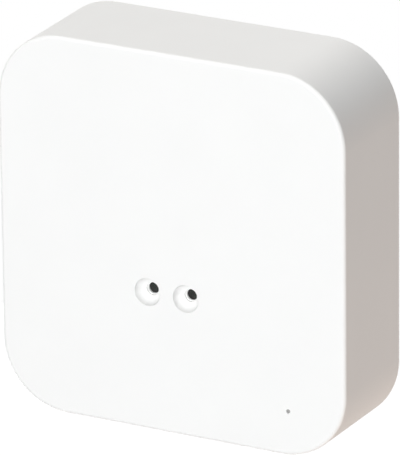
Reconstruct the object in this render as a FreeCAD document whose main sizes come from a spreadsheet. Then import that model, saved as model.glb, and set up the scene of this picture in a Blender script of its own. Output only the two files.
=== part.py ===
import FreeCAD, Part
import math
import os
import Sketcher

# Wireless glass break detector: a rounded square wall unit with two microphone ports and
# a status light in its face, which slides down onto a bracket screwed to the wall.
# Millimetres. The wall is the plane y = 0, the face looks along -Y and +Z is up.
# A depth is a distance from the wall, so depth d lies at y = -d.

case_sizes = {
    "case_width": 80.0,
    "case_height": 83.0,
    "corner_radius": 15.0,
    "draft_angle": 0.5,
    "front_edge_radius": 0.8,
    "side_wall": 1.8,
    "front_wall": 2.0,
    "rim_relief": 0.4,
    "boss_diameter": 6.4,
    "boss_inset_side": 7.5,
    "boss_inset_end": 14.0,
}
port_sizes = {
    "port_spacing": 8.86,
    "port_offset": -1.13,
    "port_drop": 11.05,
    "dish_diameter": 5.9,
    "dish_depth": 2.8,
    "dish_edge_radius": 0.15,
    "port_diameter": 2.42,
    "port_length": 0.5,
    "port_edge_radius": 0.1,
    "port_ring_width": 0.2,
    "port_ring_depth": 0.5,
    "mesh_thickness": 0.15,
    "mesh_diameter": 4.6,
    "gasket_thickness": 0.85,
    "gasket_diameter": 4.8,
    "collar_wall": 0.8,
    "collar_clearance": 0.3,
    "capsule_width": 3.5,
    "capsule_length": 2.65,
    "capsule_height": 1.0,
    "sound_hole_diameter": 0.8,
}
light_sizes = {
    "light_inset_side": 13.2,
    "light_inset_bottom": 10.0,
    "light_pin_diameter": 0.8,
    "light_pin_clearance": 0.05,
    "light_pin_recess": 0.3,
    "light_foot_diameter": 3.0,
    "light_foot_thickness": 0.9,
    "light_collar_wall": 0.7,
    "light_collar_clearance": 0.1,
    "lamp_width": 2.0,
    "lamp_length": 1.25,
    "lamp_height": 0.8,
    "lens_width": 1.4,
}
bracket_sizes = {
    "bracket_thickness": 2.2,
    "bracket_width": 40.0,
    "bracket_corner_radius": 2.5,
    "flange_wall": 1.6,
    "flange_height": 2.6,
    "flange_end_gap": 3.0,
    "tongue_reach": 1.8,
    "tongue_thickness": 1.3,
    "slide_gap": 0.3,
    "bottom_recess": 2.5,
    "screw_slot_spacing": 40.0,
    "screw_slot_width": 4.4,
    "screw_slot_length": 9.0,
    "screw_slot_chamfer": 0.7,
    "finger_width": 8.0,
    "finger_length": 9.0,
    "finger_slit": 1.0,
    "finger_end_gap": 3.0,
    "catch_height": 0.2,
    "catch_width": 5.0,
    "catch_length": 1.4,
    "pad_recess_depth": 0.3,
    "pad_recess_width": 32.0,
    "pad_recess_length": 10.0,
    "pad_recess_offset": 8.0,
}
chassis_sizes = {
    "chassis_fit": 0.2,
    "chassis_recess": 0.2,
    "end_wall": 2.6,
    "rail_wall": 1.5,
    "channel_wall": 1.5,
    "tray_side_wall": 1.2,
    "tray_floor": 0.8,
    "post_diameter": 5.0,
    "post_inset_side": 9.0,
    "post_height_offset": 16.0,
}
cell_sizes = {
    "cell_diameter": 14.2,
    "cell_length": 50.5,
    "cell_nub_diameter": 5.4,
    "cell_nub_length": 1.4,
    "cell_shoulder": 0.6,
    "cell_pitch_gap": 0.6,
    "cell_side_play": 0.4,
    "cell_rear_play": 0.5,
    "cell_front_play": 0.2,
    "contact_thickness": 0.4,
    "contact_play": 0.1,
    "contact_width": 9.0,
    "contact_depth": 9.0,
    "tab_width": 2.5,
    "tab_clearance": 0.2,
    "tab_stand_out": 0.6,
    "cell_spring_length": 5.5,
    "cell_spring_wire": 0.6,
    "cell_spring_foot_radius": 4.0,
    "cell_spring_top_radius": 2.8,
    "cell_spring_turns": 4,
}
board_sizes = {
    "board_thickness": 0.8,
    "board_gap": 1.2,
    "board_inset_side": 3.2,
    "board_inset_end": 2.2,
    "board_corner_radius": 8.0,
    "boss_clearance": 0.4,
    "radio_length": 18.0,
    "radio_thickness": 0.8,
    "radio_height_offset": 19.0,
    "shield_side_margin": 1.5,
    "shield_end_margin": 3.0,
    "shield_height": 2.0,
    "shield_sheet": 0.2,
    "column_gap": 0.7,
    "aerial_wire": 0.6,
    "aerial_radius": 2.2,
    "aerial_length": 15.0,
    "aerial_turns": 9,
    "aerial_drop": 17.0,
    "processor_side": 7.0,
    "processor_height": 0.9,
    "processor_height_offset": 17.0,
    "crystal_length": 3.2,
    "crystal_width": 2.5,
    "crystal_height": 0.7,
    "crystal_height_offset": 9.0,
    "reservoir_diameter": 8.0,
    "reservoir_height": 6.2,
    "reservoir_base": 0.8,
    "reservoir_drop": 15.0,
    "chip_length": 2.0,
    "chip_width": 1.25,
    "chip_height": 0.6,
    "chip_pitch": 3.4,
    "chip_count": 4,
    "chip_row_top": 4.0,
}
pin_sizes = {
    "guide_height": 3.8,
    "guide_wall": 1.5,
    "guide_clearance": 0.2,
    "plunger_diameter": 3.2,
    "plunger_stand_out": 1.0,
    "button_diameter": 5.0,
    "button_recess": 0.3,
    "pin_inset_side": 9.5,
    "pin_tip_radius": 0.5,
    "collar_gap": 0.2,
    "collar_thickness": 1.2,
    "collar_reach": 1.1,
    "nose_diameter": 2.2,
    "nose_length": 1.4,
    "switch_side": 6.0,
    "switch_height": 3.4,
    "stem_diameter": 3.5,
    "stem_height": 0.8,
    "stem_sunk": 0.6,
    "stem_travel": 0.4,
    "stem_clearance": 0.1,
    "tamper_spring_wire": 0.4,
    "tamper_spring_radius": 1.6,
    "tamper_spring_turns": 6,
    "spring_end_play": 0.1,
}
screw_sizes = {
    "screw_diameter": 2.4,
    "screw_pilot_clearance": 0.1,
    "screw_hole_clearance": 0.5,
    "screw_head_diameter": 4.6,
    "screw_head_height": 1.2,
    "screw_head_recess": 0.2,
    "screw_seat_clearance": 0.4,
    "screw_length": 9.0,
    "screw_point_gap": 1.0,
    "board_screw_diameter": 1.9,
    "board_screw_head_diameter": 3.6,
    "board_screw_head_height": 1.2,
    "board_screw_length": 5.0,
    "drive_slot_width": 0.7,
    "drive_slot_depth": 0.6,
    "drive_slot_length": 2.6,
}

doc = FreeCAD.newDocument("glass_break_detector")
sheet = doc.addObject("Spreadsheet::Sheet", "sizes")
row = 0
for title, values in (
        ("case", case_sizes),
        ("microphone ports", port_sizes),
        ("status light", light_sizes),
        ("wall bracket", bracket_sizes),
        ("rear chassis", chassis_sizes),
        ("cells and contacts", cell_sizes),
        ("main board", board_sizes),
        ("tamper plunger and enrol button", pin_sizes),
        ("screws", screw_sizes)):
    row += 1
    sheet.set(f"A{row}", title)
    for name, number in values.items():
        row += 1
        sheet.set(f"A{row}", name)
        sheet.set(f"B{row}", str(number))
        sheet.setAlias(f"B{row}", name)
    row += 1
doc.recompute()

# Depths that follow from stacking the pieces up from the wall
channel_floor = "(sizes.bracket_thickness + sizes.slide_gap)"
cell_rear = f"({channel_floor} + sizes.cell_rear_play)"
cell_axis = f"({cell_rear} + sizes.cell_diameter / 2)"
tray_inside = f"({cell_rear} + sizes.cell_diameter + sizes.cell_front_play)"
tray_front = f"({tray_inside} + sizes.tray_floor)"
board_rear = f"({tray_front} + sizes.board_gap)"
board_front = f"({board_rear} + sizes.board_thickness)"
mesh_rear = f"({board_front} + sizes.gasket_thickness)"
port_rear = f"({mesh_rear} + sizes.mesh_thickness)"
dish_floor = f"({port_rear} + sizes.port_length)"
ring_top = f"({dish_floor} + sizes.port_ring_depth)"
ring_diameter = "(sizes.port_diameter + 2 * sizes.port_ring_width)"
case_depth = f"({dish_floor} + sizes.dish_depth)"
case_inside = f"({case_depth} - sizes.front_wall)"
plate_rear = "(sizes.rim_relief + sizes.chassis_recess)"
tongue_front = "(sizes.bracket_thickness + sizes.flange_height)"
tongue_rear = f"({tongue_front} - sizes.tongue_thickness)"
plate_front = f"({tongue_rear} - sizes.slide_gap)"
groove_front = f"({tongue_front} + sizes.slide_gap)"
rail_front = f"({groove_front} + sizes.rail_wall)"
guide_front = f"({plate_front} + sizes.guide_height)"
collar_rear = f"({guide_front} + sizes.collar_gap)"
collar_front = f"({collar_rear} + sizes.collar_thickness)"
switch_rear = f"({board_rear} - sizes.switch_height)"
stem_rear = f"({switch_rear} - sizes.stem_height)"

# Half widths and heights from the centre of the case
half_width = "(sizes.case_width / 2)"
half_height = "(sizes.case_height / 2)"
inner_half_width = f"({half_width} - sizes.side_wall)"
inner_half_height = f"({half_height} - sizes.side_wall)"
inner_radius = "(sizes.corner_radius - sizes.side_wall)"
chassis_half_width = f"({inner_half_width} - sizes.chassis_fit)"
chassis_half_height = f"({inner_half_height} - sizes.chassis_fit)"
channel_top = f"({chassis_half_height} - sizes.end_wall)"
bracket_top = f"({channel_top} - sizes.slide_gap)"
bracket_bottom = f"(-{half_height} + sizes.bottom_recess)"
bracket_half_width = "(sizes.bracket_width / 2)"
flange_inside = f"({bracket_half_width} - sizes.flange_wall)"
tongue_outside = f"({bracket_half_width} + sizes.tongue_reach)"
channel_half_width = f"({bracket_half_width} + sizes.slide_gap)"
groove_inside = f"({flange_inside} - sizes.slide_gap)"
groove_outside = f"({tongue_outside} + sizes.slide_gap)"
rail_outside = f"({groove_outside} + sizes.rail_wall)"
cell_offset = "((sizes.cell_diameter + sizes.cell_pitch_gap) / 2)"
tray_half_width = f"({cell_offset} + sizes.cell_diameter / 2 + sizes.cell_side_play)"
cell_stack = "(sizes.cell_length + sizes.cell_spring_length)"
contact_inside = f"({cell_stack} / 2)"
tray_half_height = f"({contact_inside} + sizes.contact_thickness + sizes.contact_play)"
tray_outer_width = f"({tray_half_width} + sizes.tray_side_wall)"
tray_outer_height = f"({tray_half_height} + sizes.tray_side_wall)"
boss_side = f"({half_width} - sizes.boss_inset_side)"
boss_end = f"({half_height} - sizes.boss_inset_end)"
post_side = f"({half_width} - sizes.post_inset_side)"
column_room = f"({post_side} - sizes.post_diameter / 2 - {tray_outer_width})"
column_side = f"({tray_outer_width} + {column_room} / 2)"
radio_width = f"({column_room} - 2 * sizes.column_gap)"
pin_side = f"({half_width} - sizes.pin_inset_side)"
light_side = f"({half_width} - sizes.light_inset_side)"
light_height = f"(-{half_height} + sizes.light_inset_bottom)"
port_height = "(-sizes.port_drop)"
plunger_hole = "(sizes.plunger_diameter + 2 * sizes.guide_clearance)"
button_hole = "(sizes.button_diameter + 2 * sizes.guide_clearance)"
screw_head_rear = f"({plate_rear} + sizes.screw_head_recess)"
screw_seat = f"({screw_head_rear} + sizes.screw_head_height)"
port_sides = {
    "left": "(sizes.port_offset - sizes.port_spacing / 2)",
    "right": "(sizes.port_offset + sizes.port_spacing / 2)",
}
corners = [(a, b) for a in ("-", "") for b in ("-", "")]
same_place = 1e-4  # edges and faces closer together than this lie in one place


def value(expression):
    """The number that an expression on the sheet comes to."""
    return float(sheet.evalExpression(expression))


# Sketch helpers. A sketch lies square to Y at a depth, with X across and Z up.


def sketch_at(body, name, depth):
    sketch = body.newObject("Sketcher::SketchObject", name)
    plane = [f for f in body.Origin.OriginFeatures if f.Role == "XZ_Plane"][0]
    sketch.AttachmentSupport = [(plane, "")]
    sketch.MapMode = "FlatFace"
    sketch.setExpression(".AttachmentOffset.Base.z", depth)
    return sketch


def drive(sketch, kind, arguments, expression):
    """Add a dimension to a sketch and tie it to the sheet."""
    at = sketch.addConstraint(Sketcher.Constraint(kind, *arguments, value(expression)))
    sketch.setExpression(f"Constraints[{at}]", expression)


def add_polyline(sketch, corner_list):
    """Straight lines through corners given as (x, z) expressions."""
    first = sketch.GeometryCount
    places = [FreeCAD.Vector(value(x), value(z), 0) for x, z in corner_list]
    for start, end in zip(places, places[1:]):
        sketch.addGeometry(Part.LineSegment(start, end), False)
    last = sketch.GeometryCount - 1
    for i in range(first, last):
        sketch.addConstraint(Sketcher.Constraint("Coincident", i, 2, i + 1, 1))
    corner_points = [(i, 1) for i in range(first, last + 1)] + [(last, 2)]
    for (line, end), (x, z) in zip(corner_points, corner_list):
        drive(sketch, "DistanceX", (-1, 1, line, end), x)
        drive(sketch, "DistanceY", (-1, 1, line, end), z)


def add_polygon(sketch, corner_list):
    """A closed outline of straight lines."""
    first = sketch.GeometryCount
    add_polyline(sketch, corner_list)
    last = sketch.GeometryCount - 1
    closing = sketch.addGeometry(
        Part.LineSegment(sketch.getPoint(last, 2), sketch.getPoint(first, 1)), False)
    sketch.addConstraint(Sketcher.Constraint("Coincident", last, 2, closing, 1))
    sketch.addConstraint(Sketcher.Constraint("Coincident", closing, 2, first, 1))


def add_rectangle(sketch, left, right, low, high):
    add_polygon(sketch, [(left, low), (right, low), (right, high), (left, high)])


def add_circle(sketch, x, z, diameter):
    index = sketch.GeometryCount
    centre = FreeCAD.Vector(value(x), value(z), 0)
    sketch.addGeometry(Part.Circle(centre, FreeCAD.Vector(0, 0, 1), value(diameter) / 2), False)
    drive(sketch, "DistanceX", (-1, 1, index, 3), x)
    drive(sketch, "DistanceY", (-1, 1, index, 3), z)
    drive(sketch, "Diameter", (index,), diameter)


def add_rounded(sketch, right, top, radius, middle="0"):
    """A rectangle with round corners, from -right to right and as far above middle as below."""
    first = sketch.GeometryCount
    a, r, centre = value(right), value(radius), value(middle)
    b = value(top) - centre
    arcs = [(a - r, b - r, 0), (r - a, b - r, 90), (r - a, r - b, 180), (a - r, r - b, 270)]
    for x, z, start in arcs:
        circle = Part.Circle(FreeCAD.Vector(x, z + centre, 0), FreeCAD.Vector(0, 0, 1), r)
        turn = math.radians(start)
        sketch.addGeometry(Part.ArcOfCircle(circle, turn, turn + math.pi / 2), False)
    ends = [sketch.getPoint(first + i, 2) for i in range(4)]
    starts = [sketch.getPoint(first + (i + 1) % 4, 1) for i in range(4)]
    for end, start in zip(ends, starts):
        sketch.addGeometry(Part.LineSegment(end, start), False)
    for i in range(4):
        line = first + 4 + i
        sketch.addConstraint(Sketcher.Constraint("Tangent", first + i, 2, line, 1))
        sketch.addConstraint(Sketcher.Constraint("Tangent", line, 2, first + (i + 1) % 4, 1))
        direction = "Horizontal" if i % 2 == 0 else "Vertical"
        sketch.addConstraint(Sketcher.Constraint(direction, line))
    for i in range(1, 4):
        sketch.addConstraint(Sketcher.Constraint("Equal", first, first + i))
    drive(sketch, "Radius", (first,), radius)
    drive(sketch, "DistanceX", (-1, 1, first, 1), right)
    drive(sketch, "DistanceX", (first + 1, 2, -1, 1), right)
    drive(sketch, "DistanceY", (-1, 1, first, 2), top)
    drive(sketch, "DistanceY", (first + 2, 2, first, 2), f"2 * ({top} - {middle})")


def add_slot(sketch, x, z, width, length):
    """An upright slot with round ends."""
    first = sketch.GeometryCount
    cx, cz, r = value(x), value(z), value(width) / 2
    reach = value(length) / 2 - r
    up, down = FreeCAD.Vector(cx, cz + reach, 0), FreeCAD.Vector(cx, cz - reach, 0)
    normal = FreeCAD.Vector(0, 0, 1)
    sketch.addGeometry(Part.ArcOfCircle(Part.Circle(up, normal, r), 0, math.pi), False)
    sketch.addGeometry(Part.ArcOfCircle(Part.Circle(down, normal, r), math.pi, 2 * math.pi), False)
    for start, end in ((first, first + 1), (first + 1, first)):
        line = sketch.addGeometry(
            Part.LineSegment(sketch.getPoint(start, 2), sketch.getPoint(end, 1)), False)
        sketch.addConstraint(Sketcher.Constraint("Tangent", start, 2, line, 1))
        sketch.addConstraint(Sketcher.Constraint("Tangent", line, 2, end, 1))
        sketch.addConstraint(Sketcher.Constraint("Vertical", line))
    drive(sketch, "Radius", (first,), f"{width} / 2")
    drive(sketch, "DistanceX", (-1, 1, first, 3), x)
    drive(sketch, "DistanceY", (-1, 1, first, 3), f"{z} + ({length} - {width}) / 2")
    drive(sketch, "DistanceY", (first + 1, 3, first, 3), f"{length} - {width}")


def pad(body, sketch, length, name):
    """Grow the sketch away from the wall."""
    feature = body.newObject("PartDesign::Pad", name)
    feature.Profile = sketch
    feature.setExpression("Length", length)
    return feature


def pocket(body, sketch, length, name):
    """Cut the sketch away from the wall."""
    feature = body.newObject("PartDesign::Pocket", name)
    feature.Profile = sketch
    feature.Reversed = True
    feature.setExpression("Length", length)
    return feature


def edges_where(feature, test):
    """Names of the feature's edges that pass a test."""
    doc.recompute()
    return [f"Edge{i}" for i, e in enumerate(feature.Shape.Edges, start=1) if test(e)]


def at_depth(edge, depth):
    box = edge.BoundBox
    return abs(box.YMin + depth) < same_place and abs(box.YMax + depth) < same_place


def dress(body, kind, base, edges, size, name):
    """Round or bevel edges of a feature."""
    feature = body.newObject(f"PartDesign::{kind}", name)
    feature.Base = (base, edges)
    feature.setExpression("Radius" if kind == "Fillet" else "Size", size)
    return feature


def new_body(label):
    body = doc.addObject("PartDesign::Body", label)
    body.Label = label
    return body


# Helpers for pieces made of plain solids. A place is (x, depth, z) as expressions.


def place(thing, x, depth, z):
    thing.setExpression(".Placement.Base.x", x)
    thing.setExpression(".Placement.Base.y", f"-({depth})")
    thing.setExpression(".Placement.Base.z", z)


def box(name, x, depth, z, width, thickness, height):
    """A box centred on x and z that starts at a depth and grows away from the wall."""
    solid = doc.addObject("Part::Box", name)
    solid.setExpression("Length", width)
    solid.setExpression("Width", thickness)
    solid.setExpression("Height", height)
    place(solid, f"{x} - ({width}) / 2", f"{depth} + {thickness}", f"{z} - ({height}) / 2")
    return solid


def rod(name, x, depth, z, diameter, length):
    """A cylinder that starts at a depth and grows away from the wall."""
    solid = doc.addObject("Part::Cylinder", name)
    solid.setExpression("Radius", f"({diameter}) / 2")
    solid.setExpression("Height", length)
    solid.Placement = FreeCAD.Placement(
        FreeCAD.Vector(), FreeCAD.Rotation(FreeCAD.Vector(1, 0, 0), 90))
    place(solid, x, depth, z)
    return solid


def fuse(name, shapes):
    joined = doc.addObject("Part::MultiFuse", name)
    joined.Shapes = shapes
    return joined


def cut(name, base, tool):
    result = doc.addObject("Part::Cut", name)
    result.Base = base
    result.Tool = tool
    return result


def group(name, shapes):
    """Separate solids that share one node."""
    together = doc.addObject("Part::Compound", name)
    together.Links = shapes
    return together


# Coils: one unbroken wire whose path is pairs of tangent arcs, a quarter turn at a time


def arc_between(start, end, corner):
    """The arc from start to end whose end tangents meet at corner."""
    middle = (start + end) / 2
    half_chord = (end - start).Length / 2
    height = (corner - middle).Length
    angle = math.atan2(height, half_chord)
    share = math.tan(angle / 2) / math.tan(angle)
    return Part.Arc(start, middle + (corner - middle) * share, end).toShape()


def biarc(p, u, q, v):
    """Two tangent arcs from p, leaving along u, to q, arriving along v."""
    across = q - p
    a = 2 * (1 - u.dot(v))
    b = 2 * across.dot(u + v)
    c = -across.dot(across)
    reach = (-b + math.sqrt(b * b - 4 * a * c)) / (2 * a)
    first, last = p + u * reach, q - v * reach
    meet = (first + last) / 2
    return [arc_between(p, meet, first), arc_between(meet, q, last)]


def coil(name, foot_radius, top_radius, length, turns, wire):
    """A coil about its own Z axis, from a foot at 0 to a top at its length."""
    rise = length - wire
    quarters = int(4 * turns)

    def point(t):
        radius = foot_radius + (top_radius - foot_radius) * t
        angle = 2 * math.pi * turns * t
        return FreeCAD.Vector(
            radius * math.cos(angle), radius * math.sin(angle), wire / 2 + rise * t)

    def heading(t):
        radius = foot_radius + (top_radius - foot_radius) * t
        angle = 2 * math.pi * turns * t
        spin = 2 * math.pi * turns
        grow = top_radius - foot_radius
        way = FreeCAD.Vector(
            grow * math.cos(angle) - radius * spin * math.sin(angle),
            grow * math.sin(angle) + radius * spin * math.cos(angle), rise)
        return way.normalize()

    edges = []
    for i in range(quarters):
        t, following = i / quarters, (i + 1) / quarters
        edges += biarc(point(t), heading(t), point(following), heading(following))
    path = Part.Wire(edges)
    section = Part.Wire(Part.Circle(point(0), heading(0), wire / 2).toShape())
    winding = doc.addObject("Part::Feature", name)
    winding.Shape = path.makePipeShell([section], True, False)

    steps = 24
    samples = [point(i / (steps * turns)) for i in range(int(steps * turns) + 1)]
    half_turn_on = steps // 2
    apart = [
        (samples[i] - samples[j]).Length
        for i in range(len(samples)) for j in range(i + half_turn_on, len(samples))]
    print(f"{name}: least gap between turns {min(apart) - wire:.2f} mm")
    return winding


# Front housing: one moulded shell with a seamless face and sides
housing = new_body("front_housing")
sketch = sketch_at(housing, "case_outline", "sizes.rim_relief")
add_rounded(sketch, half_width, half_height, "sizes.corner_radius")
block = pad(housing, sketch, f"{case_depth} - sizes.rim_relief", "case_block")
block.setExpression("TaperAngle", "-sizes.draft_angle")
face_depth = value(case_depth)
dress(housing, "Fillet", block, edges_where(block, lambda e: at_depth(e, face_depth)),
      "sizes.front_edge_radius", "front_edge")
sketch = sketch_at(housing, "cavity_outline", "sizes.rim_relief")
add_rounded(sketch, inner_half_width, inner_half_height, inner_radius)
pocket(housing, sketch, f"{case_inside} - sizes.rim_relief", "cavity")

sketch = sketch_at(housing, "bottom_notch_outline", "sizes.rim_relief")
add_rectangle(sketch, f"-{groove_outside}", groove_outside,
              f"-{half_height} - sizes.side_wall", f"-{inner_half_height} + sizes.side_wall")
pocket(housing, sketch, f"{groove_front} - sizes.rim_relief", "bottom_notch")

sketch = sketch_at(housing, "boss_circles", plate_front)
for a, b in corners:
    add_circle(sketch, f"{a}{boss_side}", f"{b}{boss_end}", "sizes.boss_diameter")
pad(housing, sketch, f"{case_inside} - {plate_front}", "screw_bosses")
sketch = sketch_at(housing, "pilot_circles", plate_front)
for a, b in corners:
    add_circle(sketch, f"{a}{boss_side}", f"{b}{boss_end}",
               "sizes.screw_diameter + 2 * sizes.screw_pilot_clearance")
pocket(housing, sketch, "sizes.screw_length + sizes.screw_point_gap", "pilot_holes")

collar_rear_edge = f"({board_front} + sizes.collar_clearance)"
sketch = sketch_at(housing, "port_collar_circles", collar_rear_edge)
for side in port_sides.values():
    add_circle(sketch, side, port_height,
               "sizes.gasket_diameter + 2 * (sizes.collar_clearance + sizes.collar_wall)")
pad(housing, sketch, f"{case_inside} - {collar_rear_edge}", "port_collars")
sketch = sketch_at(housing, "port_seat_circles", collar_rear_edge)
for side in port_sides.values():
    add_circle(sketch, side, port_height, "sizes.gasket_diameter + 2 * sizes.collar_clearance")
pocket(housing, sketch, f"{port_rear} - {collar_rear_edge}", "port_seats")


def add_bowl(sketch, rim, ring, port, inner_end):
    """Half the section of a bowl whose round wall stands square to the face at its rim.

    At its bottom the wall drops into a flat ring around the port."""
    outside = f"-({case_depth} + sizes.front_edge_radius)"
    add_polyline(sketch, [
        (ring, f"-{ring_top}"),
        (ring, f"-{dish_floor}"),
        (port, f"-{dish_floor}"),
        (port, inner_end),
        ("0", inner_end),
        ("0", outside),
        (rim, outside),
        (rim, f"-{case_depth}"),
    ])
    wide, narrow, deep = value(rim), value(ring), value(f"{case_depth} - {ring_top}")
    radius = (deep ** 2 + (wide - narrow) ** 2) / (2 * (wide - narrow))
    centre = FreeCAD.Vector(wide - radius, -value(case_depth), 0)
    low_end = math.atan2(deep, narrow - wide + radius)
    circle = Part.Circle(centre, FreeCAD.Vector(0, 0, 1), radius)
    wall = sketch.addGeometry(Part.ArcOfCircle(circle, 0, low_end), False)
    last_line = wall - 1
    sketch.addConstraint(Sketcher.Constraint("Coincident", wall, 1, last_line, 2))
    sketch.addConstraint(Sketcher.Constraint("Coincident", wall, 2, 0, 1))
    drive(sketch, "DistanceY", (-1, 1, wall, 3), f"-{case_depth}")


dish_edges = (
    ("rim", case_depth, "sizes.dish_diameter", "sizes.dish_edge_radius"),
    ("ring", ring_top, ring_diameter, "sizes.port_edge_radius"),
    ("port", dish_floor, "sizes.port_diameter", "sizes.port_edge_radius"),
)
for name, side in port_sides.items():
    dish = housing.newObject("Sketcher::SketchObject", f"dish_profile_{name}")
    plane = [f for f in housing.Origin.OriginFeatures if f.Role == "XY_Plane"][0]
    dish.AttachmentSupport = [(plane, "")]
    dish.MapMode = "FlatFace"
    dish.setExpression(".AttachmentOffset.Base.x", side)
    dish.setExpression(".AttachmentOffset.Base.z", port_height)
    add_bowl(dish, "(sizes.dish_diameter / 2)", f"({ring_diameter} / 2)",
             "(sizes.port_diameter / 2)", f"-{port_rear} + sizes.mesh_thickness")
    groove = housing.newObject("PartDesign::Groove", f"dish_{name}")
    groove.Profile = dish
    groove.ReferenceAxis = (dish, ["V_Axis"])
    groove.Angle = 360
    for edge, depth, diameter, rounding in dish_edges:
        circle_radius = value(f"{diameter} / 2")
        circles = edges_where(groove, lambda e: at_depth(e, value(depth))
                              and isinstance(e.Curve, Part.Circle)
                              and abs(e.Curve.Radius - circle_radius) < same_place
                              and abs(e.Curve.Center.x - value(side)) < same_place)
        groove = dress(housing, "Fillet", groove, circles, rounding, f"{edge}_edge_{name}")

# The light pipe's collar inside the face, and its pinhole
light_collar_rear = f"({case_inside} - sizes.light_foot_thickness)"
sketch = sketch_at(housing, "light_collar_circles", light_collar_rear)
light_seat = "(sizes.light_foot_diameter + 2 * sizes.light_collar_clearance)"
add_circle(sketch, light_side, light_height, light_seat)
add_circle(sketch, light_side, light_height, f"{light_seat} + 2 * sizes.light_collar_wall")
pad(housing, sketch, "sizes.light_foot_thickness", "light_collar")
sketch = sketch_at(housing, "light_hole_circle", case_inside)
add_circle(sketch, light_side, light_height,
           "sizes.light_pin_diameter + 2 * sizes.light_pin_clearance")
pocket(housing, sketch, "sizes.front_wall", "light_hole")

# Rear chassis: closes the case, holds the cells and the board, and runs on the bracket
chassis = new_body("rear_chassis")
sketch = sketch_at(chassis, "plate_outline", plate_rear)
add_rounded(sketch, chassis_half_width, chassis_half_height, f"{inner_radius} - sizes.chassis_fit")
pad(chassis, sketch, f"{plate_front} - {plate_rear}", "plate")
rail_top = chassis_half_height
rail_bottom = f"-{chassis_half_height}"
sketch = sketch_at(chassis, "rail_outline", plate_rear)
add_rectangle(sketch, f"-{rail_outside}", rail_outside, rail_bottom, rail_top)
pad(chassis, sketch, f"{rail_front} - {plate_rear}", "rail_block")
sketch = sketch_at(chassis, "tray_outline", plate_rear)
add_rectangle(sketch, f"-{tray_outer_width}", tray_outer_width,
              f"-{tray_outer_height}", tray_outer_height)
pad(chassis, sketch, f"{tray_front} - {plate_rear}", "tray_block")

sketch = sketch_at(chassis, "channel_outline", "0")
below = f"-{half_height}"
add_rectangle(sketch, f"-{channel_half_width}", channel_half_width, below, channel_top)
pocket(chassis, sketch, channel_floor, "channel")
sketch = sketch_at(chassis, "flange_way_outline", "0")
add_rectangle(sketch, f"-{channel_half_width}", f"-{groove_inside}", below, channel_top)
add_rectangle(sketch, groove_inside, channel_half_width, below, channel_top)
pocket(chassis, sketch, groove_front, "flange_ways")
sketch = sketch_at(chassis, "tongue_way_outline", plate_front)
add_rectangle(sketch, f"-{groove_outside}", f"-{groove_inside}", below, channel_top)
add_rectangle(sketch, groove_inside, groove_outside, below, channel_top)
pocket(chassis, sketch, f"{groove_front} - {plate_front}", "tongue_ways")
sketch = sketch_at(chassis, "tray_inside_outline", "0")
add_rectangle(sketch, f"-{tray_half_width}", tray_half_width,
              f"-{tray_half_height}", tray_half_height)
pocket(chassis, sketch, tray_inside, "cell_bay")

# the thick ends above and below the cells are cored out from the board side
core_half_width = f"({groove_inside} - sizes.rail_wall)"
core_rear = f"({channel_floor} + sizes.channel_wall)"
sketch = sketch_at(chassis, "core_outline", core_rear)
add_rectangle(sketch, f"-{core_half_width}", core_half_width,
              tray_outer_height, f"{channel_top} - sizes.rail_wall")
add_rectangle(sketch, f"-{core_half_width}", core_half_width,
              f"-{chassis_half_height} + sizes.rail_wall", f"-{tray_outer_height}")
pocket(chassis, sketch, f"{rail_front} - {core_rear}", "cores")

sketch = sketch_at(chassis, "post_circles", plate_front)
for a, b in corners:
    add_circle(sketch, f"{a}{post_side}", f"{b}sizes.post_height_offset", "sizes.post_diameter")
pad(chassis, sketch, f"{board_rear} - {plate_front}", "board_posts")
post_hole_depth = "(sizes.board_screw_length - sizes.board_thickness + sizes.screw_point_gap)"
sketch = sketch_at(chassis, "post_hole_circles", f"{board_rear} - {post_hole_depth}")
for a, b in corners:
    add_circle(sketch, f"{a}{post_side}", f"{b}sizes.post_height_offset",
               "sizes.board_screw_diameter + 2 * sizes.screw_pilot_clearance")
pocket(chassis, sketch, post_hole_depth, "post_holes")

sketch = sketch_at(chassis, "guide_circles", plate_front)
add_circle(sketch, f"-{pin_side}", "0", f"{plunger_hole} + 2 * sizes.guide_wall")
add_circle(sketch, pin_side, "0", f"{button_hole} + 2 * sizes.guide_wall")
pad(chassis, sketch, "sizes.guide_height", "pin_guides")
sketch = sketch_at(chassis, "guide_hole_circles", "0")
add_circle(sketch, f"-{pin_side}", "0", plunger_hole)
add_circle(sketch, pin_side, "0", button_hole)
pocket(chassis, sketch, guide_front, "guide_holes")

sketch = sketch_at(chassis, "screw_hole_circles", "0")
for a, b in corners:
    add_circle(sketch, f"{a}{boss_side}", f"{b}{boss_end}",
               "sizes.screw_diameter + sizes.screw_hole_clearance")
pocket(chassis, sketch, plate_front, "screw_holes")
sketch = sketch_at(chassis, "screw_seat_circles", "0")
for a, b in corners:
    add_circle(sketch, f"{a}{boss_side}", f"{b}{boss_end}",
               "sizes.screw_head_diameter + 2 * sizes.screw_seat_clearance")
pocket(chassis, sketch, screw_seat, "screw_seats")

tab_height = f"(-{contact_inside} - sizes.contact_thickness / 2)"
tab_slot_half = "(sizes.tab_width / 2 + sizes.tab_clearance)"
tab_slot_low = f"({tab_height} - sizes.contact_thickness / 2 - sizes.tab_clearance)"
tab_slot_high = f"({tab_height} + sizes.contact_thickness / 2 + sizes.tab_clearance)"


def add_tab_slots(sketch):
    for sign in ("-", ""):
        add_rectangle(sketch, f"{sign}{cell_offset} - {tab_slot_half}",
                      f"{sign}{cell_offset} + {tab_slot_half}", tab_slot_low, tab_slot_high)


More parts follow.
